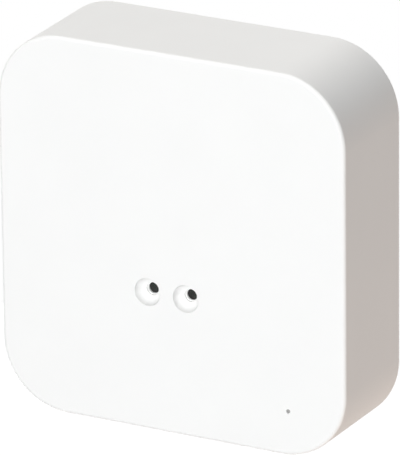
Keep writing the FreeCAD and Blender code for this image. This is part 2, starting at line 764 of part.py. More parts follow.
sketch = sketch_at(chassis, "tray_slot_outline", tray_inside)
add_tab_slots(sketch)
pocket(chassis, sketch, "sizes.tray_floor", "tray_slots")
catch_height_at = f"({bracket_bottom} + sizes.finger_end_gap + sizes.finger_slit + sizes.catch_length)"
sketch = sketch_at(chassis, "catch_recess_outline", channel_floor)
add_rectangle(sketch, "-sizes.catch_width / 2 - sizes.slide_gap",
              "sizes.catch_width / 2 + sizes.slide_gap",
              f"{catch_height_at} - sizes.catch_length / 2 - sizes.slide_gap",
              f"{catch_height_at} + sizes.catch_length / 2 + sizes.slide_gap")
pocket(chassis, sketch, "sizes.catch_height + sizes.slide_gap", "catch_recess")

# Wall bracket: a plate with a hooked flange down each side and a springy catch finger
bracket = new_body("wall_bracket")
bracket_middle = f"(({bracket_top} + {bracket_bottom}) / 2)"
sketch = sketch_at(bracket, "bracket_outline", "0")
add_rounded(sketch, bracket_half_width, bracket_top, "sizes.bracket_corner_radius",
            bracket_middle)
pad(bracket, sketch, "sizes.bracket_thickness", "bracket_plate")
flange_low = f"({bracket_bottom} + sizes.flange_end_gap)"
flange_high = f"({bracket_top} - sizes.flange_end_gap)"
sketch = sketch_at(bracket, "flange_outline", "sizes.bracket_thickness")
add_rectangle(sketch, f"-{bracket_half_width}", f"-{flange_inside}", flange_low, flange_high)
add_rectangle(sketch, flange_inside, bracket_half_width, flange_low, flange_high)
pad(bracket, sketch, "sizes.flange_height", "flanges")
sketch = sketch_at(bracket, "tongue_outline", tongue_rear)
add_rectangle(sketch, f"-{tongue_outside}", f"-{flange_inside}", flange_low, flange_high)
add_rectangle(sketch, flange_inside, tongue_outside, flange_low, flange_high)
pad(bracket, sketch, "sizes.tongue_thickness", "tongues")
finger_low = f"({bracket_bottom} + sizes.finger_end_gap)"
finger_side = "(sizes.finger_width / 2)"
slit_side = f"({finger_side} + sizes.finger_slit)"
finger_high = f"({finger_low} + sizes.finger_length)"
slit_high = f"({finger_low} + sizes.finger_slit)"
sketch = sketch_at(bracket, "finger_slit_outline", "0")
add_polygon(sketch, [
    (f"-{slit_side}", finger_low),
    (slit_side, finger_low),
    (slit_side, finger_high),
    (finger_side, finger_high),
    (finger_side, slit_high),
    (f"-{finger_side}", slit_high),
    (f"-{finger_side}", finger_high),
    (f"-{slit_side}", finger_high),
])
pocket(bracket, sketch, "sizes.bracket_thickness", "finger_slit")
sketch = sketch_at(bracket, "catch_outline", "sizes.bracket_thickness")
add_rectangle(sketch, "-sizes.catch_width / 2", "sizes.catch_width / 2",
              f"{catch_height_at} - sizes.catch_length / 2",
              f"{catch_height_at} + sizes.catch_length / 2")
pad(bracket, sketch, "sizes.catch_height", "catch")
sketch = sketch_at(bracket, "pad_recess_outline", "0")
for low, high in (("sizes.pad_recess_offset - sizes.pad_recess_length / 2",
                   "sizes.pad_recess_offset + sizes.pad_recess_length / 2"),
                  ("-sizes.pad_recess_offset - sizes.pad_recess_length / 2",
                   "-sizes.pad_recess_offset + sizes.pad_recess_length / 2")):
    add_rectangle(sketch, "-sizes.pad_recess_width / 2", "sizes.pad_recess_width / 2", low, high)
pocket(bracket, sketch, "sizes.pad_recess_depth", "pad_recesses")
sketch = sketch_at(bracket, "screw_slot_outline", "0")
for height in ("sizes.screw_slot_spacing / 2", "-sizes.screw_slot_spacing / 2"):
    add_slot(sketch, "0", height, "sizes.screw_slot_width", "sizes.screw_slot_length")
slots = pocket(bracket, sketch, "sizes.bracket_thickness", "screw_slots")
slot_reach = value("sizes.screw_slot_spacing / 2 + sizes.screw_slot_length / 2")
slot_start = value("sizes.screw_slot_spacing / 2 - sizes.screw_slot_length / 2")
lips = edges_where(slots, lambda e: at_depth(e, value("sizes.bracket_thickness"))
                   and abs(e.BoundBox.Center.x) < value("sizes.screw_slot_width / 2")
                   and slot_start < abs(e.BoundBox.Center.z) < slot_reach)
dress(bracket, "Chamfer", slots, lips, "sizes.screw_slot_chamfer", "screw_slot_bevels")

# Main board, notched around the screw bosses
board = new_body("main_board")
board_half_width = f"({inner_half_width} - sizes.board_inset_side)"
board_half_height = f"({inner_half_height} - sizes.board_inset_end)"
sketch = sketch_at(board, "board_outline", board_rear)
add_rounded(sketch, board_half_width, board_half_height, "sizes.board_corner_radius")
pad(board, sketch, "sizes.board_thickness", "board_sheet")
sketch = sketch_at(board, "boss_notch_circles", board_rear)
for a, b in corners:
    add_circle(sketch, f"{a}{boss_side}", f"{b}{boss_end}",
               "sizes.boss_diameter + 2 * sizes.boss_clearance")
pocket(board, sketch, "sizes.board_thickness", "boss_notches")
sketch = sketch_at(board, "board_hole_circles", board_rear)
for a, b in corners:
    add_circle(sketch, f"{a}{post_side}", f"{b}sizes.post_height_offset",
               "sizes.board_screw_diameter + sizes.screw_hole_clearance")
for side in port_sides.values():
    add_circle(sketch, side, port_height, "sizes.sound_hole_diameter")
add_tab_slots(sketch)
pocket(board, sketch, "sizes.board_thickness", "board_holes")

# Microphones, their rubber gaskets and the dark acoustic mesh seen through the ports
microphone_pieces = []
for name, side in port_sides.items():
    capsule = box(f"microphone_{name}", side, f"{board_rear} - sizes.capsule_height", port_height,
                  "sizes.capsule_width", "sizes.capsule_height", "sizes.capsule_length")
    ring = rod(f"gasket_disc_{name}", side, board_front, port_height,
               "sizes.gasket_diameter", "sizes.gasket_thickness")
    bore = rod(f"gasket_bore_{name}", side, board_front, port_height,
               "sizes.port_diameter", "sizes.gasket_thickness")
    gasket = cut(f"gasket_{name}", ring, bore)
    mesh = rod(f"mesh_{name}", side, mesh_rear, port_height,
               "sizes.mesh_diameter", "sizes.mesh_thickness")
    microphone_pieces += [capsule, gasket, mesh]

# Status lamp on the board and the light pipe that brings it to the face
lamp_base = box("lamp_base", light_side, board_front, light_height,
                "sizes.lamp_width", "sizes.lamp_height / 2", "sizes.lamp_length")
lamp_lens = box("lamp_lens", light_side, f"{board_front} + sizes.lamp_height / 2", light_height,
                "sizes.lens_width", "sizes.lamp_height / 2", "sizes.lamp_length")
status_lamp = fuse("status_lamp", [lamp_base, lamp_lens])
pipe_foot = rod("pipe_foot", light_side, light_collar_rear, light_height,
                "sizes.light_foot_diameter", "sizes.light_foot_thickness")
pipe_pin = rod("pipe_pin", light_side, case_inside, light_height,
               "sizes.light_pin_diameter", "sizes.front_wall - sizes.light_pin_recess")
light_pipe = fuse("light_pipe", [pipe_foot, pipe_pin])

# Radio module with its shield can, and the wound aerial below it
radio_board = box("radio_board", f"-{column_side}", f"{board_rear} - sizes.radio_thickness",
                  "sizes.radio_height_offset", radio_width, "sizes.radio_thickness",
                  "sizes.radio_length")
shield_width = f"({radio_width} - 2 * sizes.shield_side_margin)"
shield_length = "(sizes.radio_length - 2 * sizes.shield_end_margin)"
shield_rear = f"({board_rear} - sizes.radio_thickness - sizes.shield_height)"
shield_outer = box("shield_outer", f"-{column_side}", shield_rear, "sizes.radio_height_offset",
                   shield_width, "sizes.shield_height", shield_length)
shield_hollow = box("shield_hollow", f"-{column_side}", f"{shield_rear} + sizes.shield_sheet",
                    "sizes.radio_height_offset", f"{shield_width} - 2 * sizes.shield_sheet",
                    "sizes.shield_height - sizes.shield_sheet",
                    f"{shield_length} - 2 * sizes.shield_sheet")
radio_shield = cut("radio_shield", shield_outer, shield_hollow)
aerial_radius = value("sizes.aerial_radius")
aerial = coil("aerial", aerial_radius, aerial_radius, value("sizes.aerial_length"),
              value("sizes.aerial_turns"), value("sizes.aerial_wire"))
aerial.Placement.Base = FreeCAD.Vector(
    -value(column_side),
    value(f"-({board_rear} - sizes.aerial_radius - sizes.aerial_wire / 2 - sizes.spring_end_play)"),
    value("-sizes.aerial_drop - sizes.aerial_length / 2"))

# Processor, crystal, reservoir capacitor and small chips in the other column
processor = box("processor", column_side, f"{board_rear} - sizes.processor_height",
                "sizes.processor_height_offset", "sizes.processor_side",
                "sizes.processor_height", "sizes.processor_side")
crystal = box("crystal", column_side, f"{board_rear} - sizes.crystal_height",
              "sizes.crystal_height_offset", "sizes.crystal_length",
              "sizes.crystal_height", "sizes.crystal_width")
can_height = "(sizes.reservoir_height - sizes.reservoir_base)"
reservoir_foot = box("reservoir_foot", column_side, f"{board_rear} - sizes.reservoir_base",
                     "-sizes.reservoir_drop", "sizes.reservoir_diameter",
                     "sizes.reservoir_base", "sizes.reservoir_diameter")
reservoir_can = rod("reservoir_can", column_side, f"{board_rear} - sizes.reservoir_height",
                    "-sizes.reservoir_drop", "sizes.reservoir_diameter", can_height)
reservoir = fuse("reservoir_capacitor", [reservoir_foot, reservoir_can])
chips = []
for i in range(int(value("sizes.chip_count"))):
    for sign in ("", "-"):
        chips.append(box(f"chip_{len(chips)}", f"{sign}{column_side}",
                         f"{board_rear} - sizes.chip_height",
                         f"sizes.chip_row_top - {i} * sizes.chip_pitch", "sizes.chip_length",
                         "sizes.chip_height", "sizes.chip_width"))
chip_parts = group("chip_parts", chips)

# Two AA cells side by side, one each way up, between a bridge and two tabbed contacts


def cell(name, x, way_up):
    """A round cell with its raised nub, standing on its flat end when the way is up."""
    can = new_body(name)
    profile = can.newObject("Sketcher::SketchObject", f"{name}_profile")
    plane = [f for f in can.Origin.OriginFeatures if f.Role == "XZ_Plane"][0]
    profile.AttachmentSupport = [(plane, "")]
    profile.MapMode = "FlatFace"
    shoulder_end = "(sizes.cell_length - sizes.cell_nub_length)"
    radius = "(sizes.cell_diameter / 2)"
    add_polygon(profile, [
        ("0", "0"),
        (f"{radius} - sizes.cell_shoulder", "0"),
        (radius, "sizes.cell_shoulder"),
        (radius, f"{shoulder_end} - sizes.cell_shoulder"),
        (f"{radius} - sizes.cell_shoulder", shoulder_end),
        ("sizes.cell_nub_diameter / 2", shoulder_end),
        ("sizes.cell_nub_diameter / 2", "sizes.cell_length"),
        ("0", "sizes.cell_length"),
    ])
    turned = can.newObject("PartDesign::Revolution", f"{name}_turned")
    turned.Profile = profile
    turned.ReferenceAxis = (profile, ["V_Axis"])
    turned.Angle = 360
    if way_up:
        place(can, x, cell_axis, f"{contact_inside} - sizes.cell_length")
    else:
        can.Placement = FreeCAD.Placement(
            FreeCAD.Vector(), FreeCAD.Rotation(FreeCAD.Vector(0, 1, 0), 180))
        place(can, x, cell_axis, f"-{contact_inside} + sizes.cell_length")
    return can


cell_left = cell("cell_left", f"-{cell_offset}", True)
cell_right = cell("cell_right", cell_offset, False)


def contact_plate(name, x, z, width):
    return box(name, x, f"{cell_axis} - sizes.contact_depth / 2", z, width,
               "sizes.contact_depth", "sizes.contact_thickness")


contact_bridge = contact_plate(
    "contact_bridge", "0", f"{contact_inside} + sizes.contact_thickness / 2",
    f"2 * {cell_offset} + sizes.contact_width")


def tabbed_contact(name, x):
    plate = contact_plate(f"{name}_plate", x, tab_height, "sizes.contact_width")
    tab_start = f"({cell_axis} + sizes.contact_depth / 2)"
    tab = box(f"{name}_tab", x, tab_start, tab_height, "sizes.tab_width",
              f"({board_front} + sizes.tab_stand_out - {tab_start})", "sizes.contact_thickness")
    return fuse(name, [plate, tab])


contact_negative = tabbed_contact("contact_negative", f"-{cell_offset}")
contact_positive = tabbed_contact("contact_positive", cell_offset)


def cell_spring(name, x, at_top):
    """A tapering spring whose wide foot lies on its contact."""
    play = value("sizes.spring_end_play")
    spring = coil(name, value("sizes.cell_spring_foot_radius"),
                  value("sizes.cell_spring_top_radius"),
                  value("sizes.cell_spring_length") - 2 * play,
                  value("sizes.cell_spring_turns"), value("sizes.cell_spring_wire"))
    foot = value(contact_inside) - play
    turn = FreeCAD.Rotation(FreeCAD.Vector(1, 0, 0), 180 if at_top else 0)
    spring.Placement = FreeCAD.Placement(
        FreeCAD.Vector(value(x), -value(cell_axis), foot if at_top else -foot), turn)
    return spring


spring_negative = cell_spring("spring_negative", f"-{cell_offset}", False)
spring_bridge = cell_spring("spring_bridge", cell_offset, True)


# Tamper plunger, pushed to the wall by its spring, and the enrol button beside the bracket


def guided_pin(name, x, diameter, rear):
    """A pin through its guide with a collar that keeps it from falling out."""
    shank = rod(f"{name}_shank", x, rear, "0", diameter, f"{collar_front} - ({rear})")
    rounded_shank = doc.addObject("Part::Fillet", f"{name}_tip")
    rounded_shank.Base = shank
    doc.recompute()
    ends = [i for i, e in enumerate(shank.Shape.Edges, start=1)
            if e.BoundBox.YMin > -value(rear) - same_place]
    radius = value("sizes.pin_tip_radius")
    rounded_shank.Edges = [(i, radius, radius) for i in ends]
    collar = rod(f"{name}_collar", x, collar_rear, "0",
                 f"{diameter} + 2 * sizes.collar_reach", "sizes.collar_thickness")
    return rounded_shank, collar


shank, collar = guided_pin("plunger", f"-{pin_side}", "sizes.plunger_diameter",
                           "-sizes.plunger_stand_out")
nose = rod("plunger_nose", f"-{pin_side}", collar_front, "0",
           "sizes.nose_diameter", "sizes.nose_length")
tamper_plunger = fuse("tamper_plunger", [shank, collar, nose])
shank, collar = guided_pin("button", pin_side, "sizes.button_diameter",
                           f"{plate_rear} + sizes.button_recess")
push_rod = rod("button_rod", pin_side, collar_front, "0",
               "sizes.stem_diameter", f"{stem_rear} - {collar_front}")
enrol_button = fuse("enrol_button", [shank, collar, push_rod])


def push_switch(name, x):
    """A square board switch and the round stem that sinks into its well."""
    base = box(f"{name}_switch_base", x, switch_rear, "0",
               "sizes.switch_side", "sizes.switch_height", "sizes.switch_side")
    well = rod(f"{name}_switch_well", x, switch_rear, "0",
               "sizes.stem_diameter + 2 * sizes.stem_clearance",
               "sizes.stem_sunk + sizes.stem_travel")
    stem = rod(f"{name}_stem", x, stem_rear, "0",
               "sizes.stem_diameter", "sizes.stem_height + sizes.stem_sunk")
    return cut(f"{name}_switch", base, well), stem


tamper_switch, tamper_stem = push_switch("tamper", f"-{pin_side}")
enrol_switch, enrol_stem = push_switch("enrol", pin_side)
spring_play = value("sizes.spring_end_play")
spring_space = value(f"{stem_rear} - {collar_front}")
coil_radius = value("sizes.tamper_spring_radius")
tamper_spring = coil("tamper_spring", coil_radius, coil_radius, spring_space - 2 * spring_play,
                     value("sizes.tamper_spring_turns"), value("sizes.tamper_spring_wire"))
tamper_spring.Placement = FreeCAD.Placement(
    FreeCAD.Vector(-value(pin_side), -value(collar_front) - spring_play, 0),
    FreeCAD.Rotation(FreeCAD.Vector(1, 0, 0), 90))


# Screws: four close the case from the rear, four hold the board on its posts


def slotted_screw(name, x, z, seat, size, rear_side):
    """A pan head screw seated at a depth, its head towards the wall or away from it."""
    prefix = f"sizes.{size}"
    head_height, shank_length = f"{prefix}_head_height", f"{prefix}_length"
    if rear_side:
        head_depth, shank_depth = f"{seat} - {head_height}", seat
        slot_depth = head_depth
    else:
        head_depth, shank_depth = seat, f"{seat} - {shank_length}"
        slot_depth = f"{seat} + {head_height} - sizes.drive_slot_depth"
    head = rod(f"{name}_head", x, head_depth, z, f"{prefix}_head_diameter", head_height)
    shank = rod(f"{name}_shank", x, shank_depth, z, f"{prefix}_diameter", shank_length)
    whole = fuse(f"{name}_blank", [head, shank])
    slot = box(f"{name}_slot", x, slot_depth, z, "sizes.drive_slot_length",
               "sizes.drive_slot_depth", "sizes.drive_slot_width")
    cross = box(f"{name}_cross", x, slot_depth, z, "sizes.drive_slot_width",
                "sizes.drive_slot_depth", "sizes.drive_slot_length")
    return cut(name, whole, fuse(f"{name}_drive", [slot, cross]))


case_screws = group("case_screws", [
    slotted_screw(f"case_screw_{i}", f"{a}{boss_side}", f"{b}{boss_end}", screw_seat, "screw", True)
    for i, (a, b) in enumerate(corners)])
board_screws = group("board_screws", [
    slotted_screw(f"board_screw_{i}", f"{a}{post_side}", f"{b}sizes.post_height_offset",
                  board_front, "board_screw", False)
    for i, (a, b) in enumerate(corners)])

pieces = [
    housing, chassis, bracket, board, *microphone_pieces, status_lamp, light_pipe,
    radio_board, radio_shield, aerial, processor, crystal, reservoir, chip_parts,
    cell_left, cell_right, contact_bridge, contact_negative, contact_positive,
    spring_negative, spring_bridge, tamper_plunger, tamper_spring, tamper_switch, tamper_stem,
    enrol_button, enrol_switch, enrol_stem, case_screws, board_screws,
]
for piece in pieces:
    piece.Label = piece.Name
doc.recompute()

# Every feature must have worked, each pad must add material and each pocket remove some
for thing in doc.Objects:
    if "Invalid" in thing.State or "Error" in thing.State:
        raise RuntimeError(f"{thing.Name} failed: {thing.State}")
    if thing.TypeId == "Sketcher::SketchObject" and thing.solve() != 0:
        raise RuntimeError(f"{thing.Name} can't be solved")
for piece in pieces:
    if piece.TypeId != "PartDesign::Body":
        continue
    volume = 0.0
    for feature in piece.Group:
        if not feature.isDerivedFrom("PartDesign::Feature"):
            continue
        adds = feature.TypeId in ("PartDesign::Pad", "PartDesign::Revolution")
        change = feature.Shape.Volume - volume
        if (change > 0) != adds or change == 0:
            raise RuntimeError(f"{feature.Name} changes the volume by {change:.3f}")
        volume = feature.Shape.Volume
for piece in pieces:
    if piece.Shape.isNull() or not piece.Shape.isValid() or not piece.Shape.Solids:
        raise RuntimeError(f"{piece.Name} has no valid solid")

os.makedirs("parts", exist_ok=True)
for piece in pieces:
    piece.Shape.exportStep(f"parts/{piece.Label}.step")
print(f"case depth {value(case_depth):.2f} mm, {len(pieces)} nodes")
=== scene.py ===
import bmesh
import bpy
import math
from mathutils import Matrix, Vector


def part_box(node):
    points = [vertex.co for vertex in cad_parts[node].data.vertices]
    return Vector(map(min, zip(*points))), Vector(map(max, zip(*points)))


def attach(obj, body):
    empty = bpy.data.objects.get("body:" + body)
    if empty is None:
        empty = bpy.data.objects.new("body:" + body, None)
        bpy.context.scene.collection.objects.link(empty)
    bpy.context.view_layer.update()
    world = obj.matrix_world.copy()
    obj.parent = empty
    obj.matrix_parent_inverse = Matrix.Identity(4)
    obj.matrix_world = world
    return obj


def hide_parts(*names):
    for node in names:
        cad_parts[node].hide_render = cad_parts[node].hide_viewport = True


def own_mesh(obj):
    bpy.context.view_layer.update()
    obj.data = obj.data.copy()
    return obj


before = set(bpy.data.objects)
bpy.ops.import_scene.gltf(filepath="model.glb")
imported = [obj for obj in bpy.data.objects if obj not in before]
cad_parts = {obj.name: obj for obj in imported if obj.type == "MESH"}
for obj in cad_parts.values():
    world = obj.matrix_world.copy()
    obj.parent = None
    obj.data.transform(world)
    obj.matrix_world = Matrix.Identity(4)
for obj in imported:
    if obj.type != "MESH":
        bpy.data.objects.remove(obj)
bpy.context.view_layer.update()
print("stage: frame loaded,", len(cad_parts), "solids")

mm = 0.001  # the scene is in metres; shapes are made in millimetres and then scaled by this
sharpAngle = math.radians(35)  # edges that turn by more than this stay sharp


# Shared helpers

def middleOf(node):
    low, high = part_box(node)
    return (low + high) / 2


def addObject(name, data):
    thing = bpy.data.objects.new(name, data)
    bpy.context.scene.collection.objects.link(thing)
    return thing


# sRGB hex to the linear colour that the shader sockets expect
def linearColour(hexCode):
    channels = [int(hexCode[i:i + 2], 16) / 255 for i in (1, 3, 5)]
    return [c / 12.92 if c <= 0.04045 else ((c + 0.055) / 1.055) ** 2.4 for c in channels] + [1.0]


# adds one node: settings are its own properties, and each input is a value, another node's
# socket, or another node, whose first output it takes
def addNode(tree, kind, settings=None, inputs=None):
    node = tree.nodes.new(kind)
    for name, setting in (settings or {}).items():
        setattr(node, name, setting)
    for name, given in (inputs or {}).items():
        if isinstance(given, bpy.types.Node):
            given = given.outputs[0]
        if isinstance(given, bpy.types.NodeSocket):
            tree.links.new(given, node.inputs[name])
        else:
            node.inputs[name].default_value = given
    return node


def newMaterial(name):
    material = bpy.data.materials.new(name)
    material.use_nodes = True
    tree = material.node_tree
    return material, tree, tree.nodes["Principled BSDF"]


# noise of a real grain size in millimetres, read from the object's own coordinates
def grainNoise(tree, grain, detail=2.0, stretch=(1, 1, 1)):
    place = addNode(tree, "ShaderNodeTexCoord")
    turned = addNode(tree, "ShaderNodeMapping", None, {
        "Vector": place.outputs["Object"], "Scale": stretch})
    return addNode(tree, "ShaderNodeTexNoise", None, {
        "Vector": turned, "Scale": 1 / (grain * mm), "Detail": detail})


# drives colour by a broad pattern, and roughness and bump by a fine one; returns the colour, so
# that a print can lie over it
def dressSurface(tree, surface, look, broad, fine):
    colour = addNode(tree, "ShaderNodeMix", {"data_type": "RGBA"}, {
        0: broad, 6: linearColour(look["colour"]), 7: linearColour(look["shade"])})
    gloss = addNode(tree, "ShaderNodeMapRange", None, {
        "Value": fine, "To Min": look["gloss"][0], "To Max": look["gloss"][1]})
    relief = addNode(tree, "ShaderNodeBump", None, {"Height": fine, "Distance": look["depth"] * mm})
    tree.links.new(colour.outputs[2], surface.inputs["Base Color"])
    tree.links.new(gloss.outputs["Result"], surface.inputs["Roughness"])
    tree.links.new(relief.outputs["Normal"], surface.inputs["Normal"])
    return colour.outputs[2]


# Materials. Grain, mottle, marks and depths are millimetres; gloss is the range of roughness.

# ABS or PBT moulded against a spark-eroded tool: satin, with a fine even grain and soft highlights
def mouldedPlastic(name, look):
    material, tree, surface = newMaterial(name)
    broad, fine = grainNoise(tree, look["mottle"]), grainNoise(tree, look["grain"])
    dressSurface(tree, surface, look, broad, fine)
    surface.inputs["IOR"].default_value = look.get("ior", 1.53)
    surface.inputs["Transmission Weight"].default_value = look.get("clear", 0)
    return material


caseAbs = mouldedPlastic("white_abs_moulded_satin", {
    "colour": "#F6F6F5", "shade": "#F3F3F2", "mottle": 14,
    "grain": 0.5, "gloss": (0.58, 0.68), "depth": 0.004})
chassisAbs = mouldedPlastic("white_abs_moulded_matt", {
    "colour": "#EBEAE6", "shade": "#E4E3DF", "mottle": 9,
    "grain": 0.6, "gloss": (0.48, 0.6), "depth": 0.012})
bracketAbs = mouldedPlastic("white_abs_moulded_bracket", {
    "colour": "#EEEDEA", "shade": "#E7E6E2", "mottle": 11,
    "grain": 0.5, "gloss": (0.42, 0.54), "depth": 0.008})
buttonAbs = mouldedPlastic("grey_abs_moulded_button", {
    "colour": "#8C8E90", "shade": "#828487", "mottle": 3,
    "grain": 0.4, "gloss": (0.4, 0.52), "depth": 0.008})
blackPbt = mouldedPlastic("black_pbt_moulded_switch", {
    "colour": "#1B1B1D", "shade": "#232326", "mottle": 2,
    "grain": 0.3, "gloss": (0.42, 0.6), "depth": 0.01})
# transfer-moulded epoxy: dead flat black with a gritty face
chipEpoxy = mouldedPlastic("black_epoxy_transfer_moulded", {
    "colour": "#202124", "shade": "#292A2E", "mottle": 1.4,
    "grain": 0.12, "gloss": (0.5, 0.72), "depth": 0.01})
# silicone rubber, pressed: dull, slightly dusty black
gasketSilicone = mouldedPlastic("black_silicone_pressed", {
    "colour": "#161617", "shade": "#1F1F21", "mottle": 1.2,
    "grain": 0.25, "gloss": (0.62, 0.8), "depth": 0.008})
# woven polyester monofilament: dark threads with a faint gloss along them
meshPolyester = mouldedPlastic("black_polyester_monofilament", {
    "colour": "#262624", "shade": "#30302E", "mottle": 0.3,
    "grain": 0.08, "gloss": (0.4, 0.6), "depth": 0.004})
# acrylic moulded clear with a smoky tint: dark inside, with one sharp highlight
pipeAcrylic = mouldedPlastic("smoky_acrylic_moulded", {
    "colour": "#C9C8C6", "shade": "#BDBCBA", "mottle": 1, "grain": 0.4,
    "gloss": (0.12, 0.2), "depth": 0.002, "ior": 1.49, "clear": 0.35})
# lamp body of cast epoxy over its chip: milky and smooth
lampEpoxy = mouldedPlastic("milky_epoxy_cast", {
    "colour": "#E9E3C4", "shade": "#DDD6B2", "mottle": 0.8,
    "grain": 0.3, "gloss": (0.16, 0.28), "depth": 0.003})


# steel, copper or aluminium with fine marks along one way: bright lines that follow the rolling
def rolledMetal(name, look):
    material, tree, surface = newMaterial(name)
    marks = grainNoise(tree, look["marks"], 3, look.get("stretch", (1, 1, 1)))
    dressSurface(tree, surface, look, grainNoise(tree, look["cloud"]), marks)
    surface.inputs["Metallic"].default_value = 1
    return material


nickelSteel = rolledMetal("spring_steel_nickel_plated", {
    "colour": "#CFCBC4", "shade": "#BFBBB3", "cloud": 4, "marks": 0.2,
    "stretch": (1, 1, 0.2), "gloss": (0.16, 0.3), "depth": 0.002})
tinnedSteel = rolledMetal("steel_sheet_tin_plated", {
    "colour": "#C6C6C2", "shade": "#B5B5B1", "cloud": 3, "marks": 0.2,
    "stretch": (1, 1, 0.1), "gloss": (0.26, 0.42), "depth": 0.002})
zincSteel = rolledMetal("screw_steel_zinc_plated", {
    "colour": "#B9BABB", "shade": "#A3A5A8", "cloud": 1.5, "marks": 0.2,
    "gloss": (0.28, 0.45), "depth": 0.003})
copperWire = rolledMetal("copper_wire_enamelled", {
    "colour": "#C27A4A", "shade": "#A9653A", "cloud": 2, "marks": 0.3,
    "gloss": (0.2, 0.34), "depth": 0.001})
capsuleBrass = rolledMetal("capsule_brass_nickel_plated", {
    "colour": "#D2C9A8", "shade": "#C2B893", "cloud": 1, "marks": 0.2,
    "stretch": (1, 1, 0.3), "gloss": (0.22, 0.36), "depth": 0.001})
canAluminium = rolledMetal("can_aluminium_drawn", {
    "colour": "#C9CCD0", "shade": "#B7BABF", "cloud": 3, "marks": 0.2,
    "stretch": (1, 0.1, 1), "gloss": (0.24, 0.38), "depth": 0.001})
# reflowed solder: bright, with the fine wrinkles of quick cooling
reflowedSolder = rolledMetal("tin_solder_reflowed", {
    "colour": "#C4C5C3", "shade": "#AEB0AE", "cloud": 0.6, "marks": 0.12,
    "gloss": (0.2, 0.42), "depth": 0.006})


# glass-filled epoxy board under screened solder mask: glossy green, paler where copper lies beneath
def maskedBoard(name, look):
    material, tree, surface = newMaterial(name)
    place = addNode(tree, "ShaderNodeTexCoord")
    upright = addNode(tree, "ShaderNodeMapping", None, {
        "Vector": place.outputs["Object"], "Rotation": (math.pi / 2, 0, 0)})
    tracks = addNode(tree, "ShaderNodeTexBrick", {
        "offset": 0.37, "squash": 1.6, "squash_frequency": 3}, {
        "Vector": upright, "Scale": 1, "Color1": (0, 0, 0, 1),
        "Color2": (0, 0, 0, 1), "Mortar": (1, 1, 1, 1), "Mortar Size": look["track"] * mm,
        "Mortar Smooth": 0.2, "Brick Width": look["run"] * mm, "Row Height": look["pitch"] * mm})
    dressSurface(tree, surface, look, tracks, tracks)
    surface.inputs["IOR"].default_value = 1.52
    return material


boardMask = maskedBoard("epoxy_board_green_mask", {
    "colour": "#14402A", "shade": "#1E5A3A", "track": 0.11, "run": 5.4, "pitch": 1.1,
    "gloss": (0.22, 0.3), "depth": 0.03})


# printed shrink film on a cell: v runs up the cell in millimetres, u once round it
def printedFilm(name, look):
    material, tree, surface = newMaterial(name)
    wear = grainNoise(tree, look["mottle"])
    ink = dressSurface(tree, surface, look, wear, wear)
    ownMap = addNode(tree, "ShaderNodeTexCoord")
    split = addNode(tree, "ShaderNodeSeparateXYZ", None, {0: ownMap.outputs["UV"]})
    band = addNode(tree, "ShaderNodeMath", {"operation": "GREATER_THAN"}, {
        0: split.outputs["Y"], 1: look["bandStart"]})
    line = addNode(tree, "ShaderNodeMath", {"operation": "COMPARE"}, {
        0: split.outputs["Y"], 1: look["bandStart"] - look["lineGap"], 2: look["lineWidth"] / 2})
    both = addNode(tree, "ShaderNodeMath", {"operation": "MAXIMUM"}, {0: band, 1: line})
    colour = addNode(tree, "ShaderNodeMix", {"data_type": "RGBA"}, {
        0: both, 6: ink, 7: linearColour(look["band"])})
    tree.links.new(colour.outputs[2], surface.inputs["Base Color"])
    surface.inputs["Metallic"].default_value = look["metallic"]
    surface.inputs["Coat Weight"].default_value = look["coat"]
    return material


cellFilm = printedFilm("printed_pvc_shrink_film", {
    "colour": "#31363D", "shade": "#3A4048", "band": "#A9AEB2", "bandStart": 38.0,
    "lineGap": 1.6, "lineWidth": 0.7, "mottle": 2.2, "gloss": (0.26, 0.36), "depth": 0.01,
    "metallic": 0.6, "coat": 0.4})

nodeMaterials = {
    "front_housing": caseAbs, "rear_chassis": chassisAbs, "wall_bracket": bracketAbs,
    "main_board": boardMask, "radio_board": boardMask,
    "microphone_left": capsuleBrass, "microphone_right": capsuleBrass,
    "gasket_left": gasketSilicone, "gasket_right": gasketSilicone,
    "status_lamp": lampEpoxy, "light_pipe": pipeAcrylic,
    "radio_shield": tinnedSteel, "crystal": tinnedSteel, "reservoir_capacitor": canAluminium,
    "processor": chipEpoxy, "chip_parts": chipEpoxy,
    "contact_bridge": nickelSteel, "contact_negative": nickelSteel, "contact_positive": nickelSteel,
    "tamper_plunger": buttonAbs, "enrol_button": buttonAbs,
    "tamper_switch": blackPbt, "enrol_switch": blackPbt,
    "tamper_stem": blackPbt, "enrol_stem": blackPbt,
}
for name, material in nodeMaterials.items():
    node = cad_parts[name]
    node.data.materials.clear()
    node.data.materials.append(material)
print("stage: materials ready")


# Plain shapes, made in millimetres about Z

# softens the corners of an outline, none by more than the radius
def softened(outline, radius):
    steps, share = 4, 0.49  # under half of each side goes, so that two corners never meet
    soft = [outline[0]]
    for before, corner, after in zip(outline, outline[1:], outline[2:]):
        a, b, c = Vector(before), Vector(corner), Vector(after)
        reach = min(radius, (a - b).length * share, (c - b).length * share)
        start = b + (a - b).normalized() * reach
        end = b + (c - b).normalized() * reach
        for i in range(steps + 1):
            t = i / steps
            soft.append(tuple(start.lerp(b, t).lerp(b.lerp(end, t), t)))
    return soft + [outline[-1]]


def meshOf(name, shape):
    mesh = bpy.data.meshes.new(name)
    shape.to_mesh(mesh)
    shape.free()
    return mesh


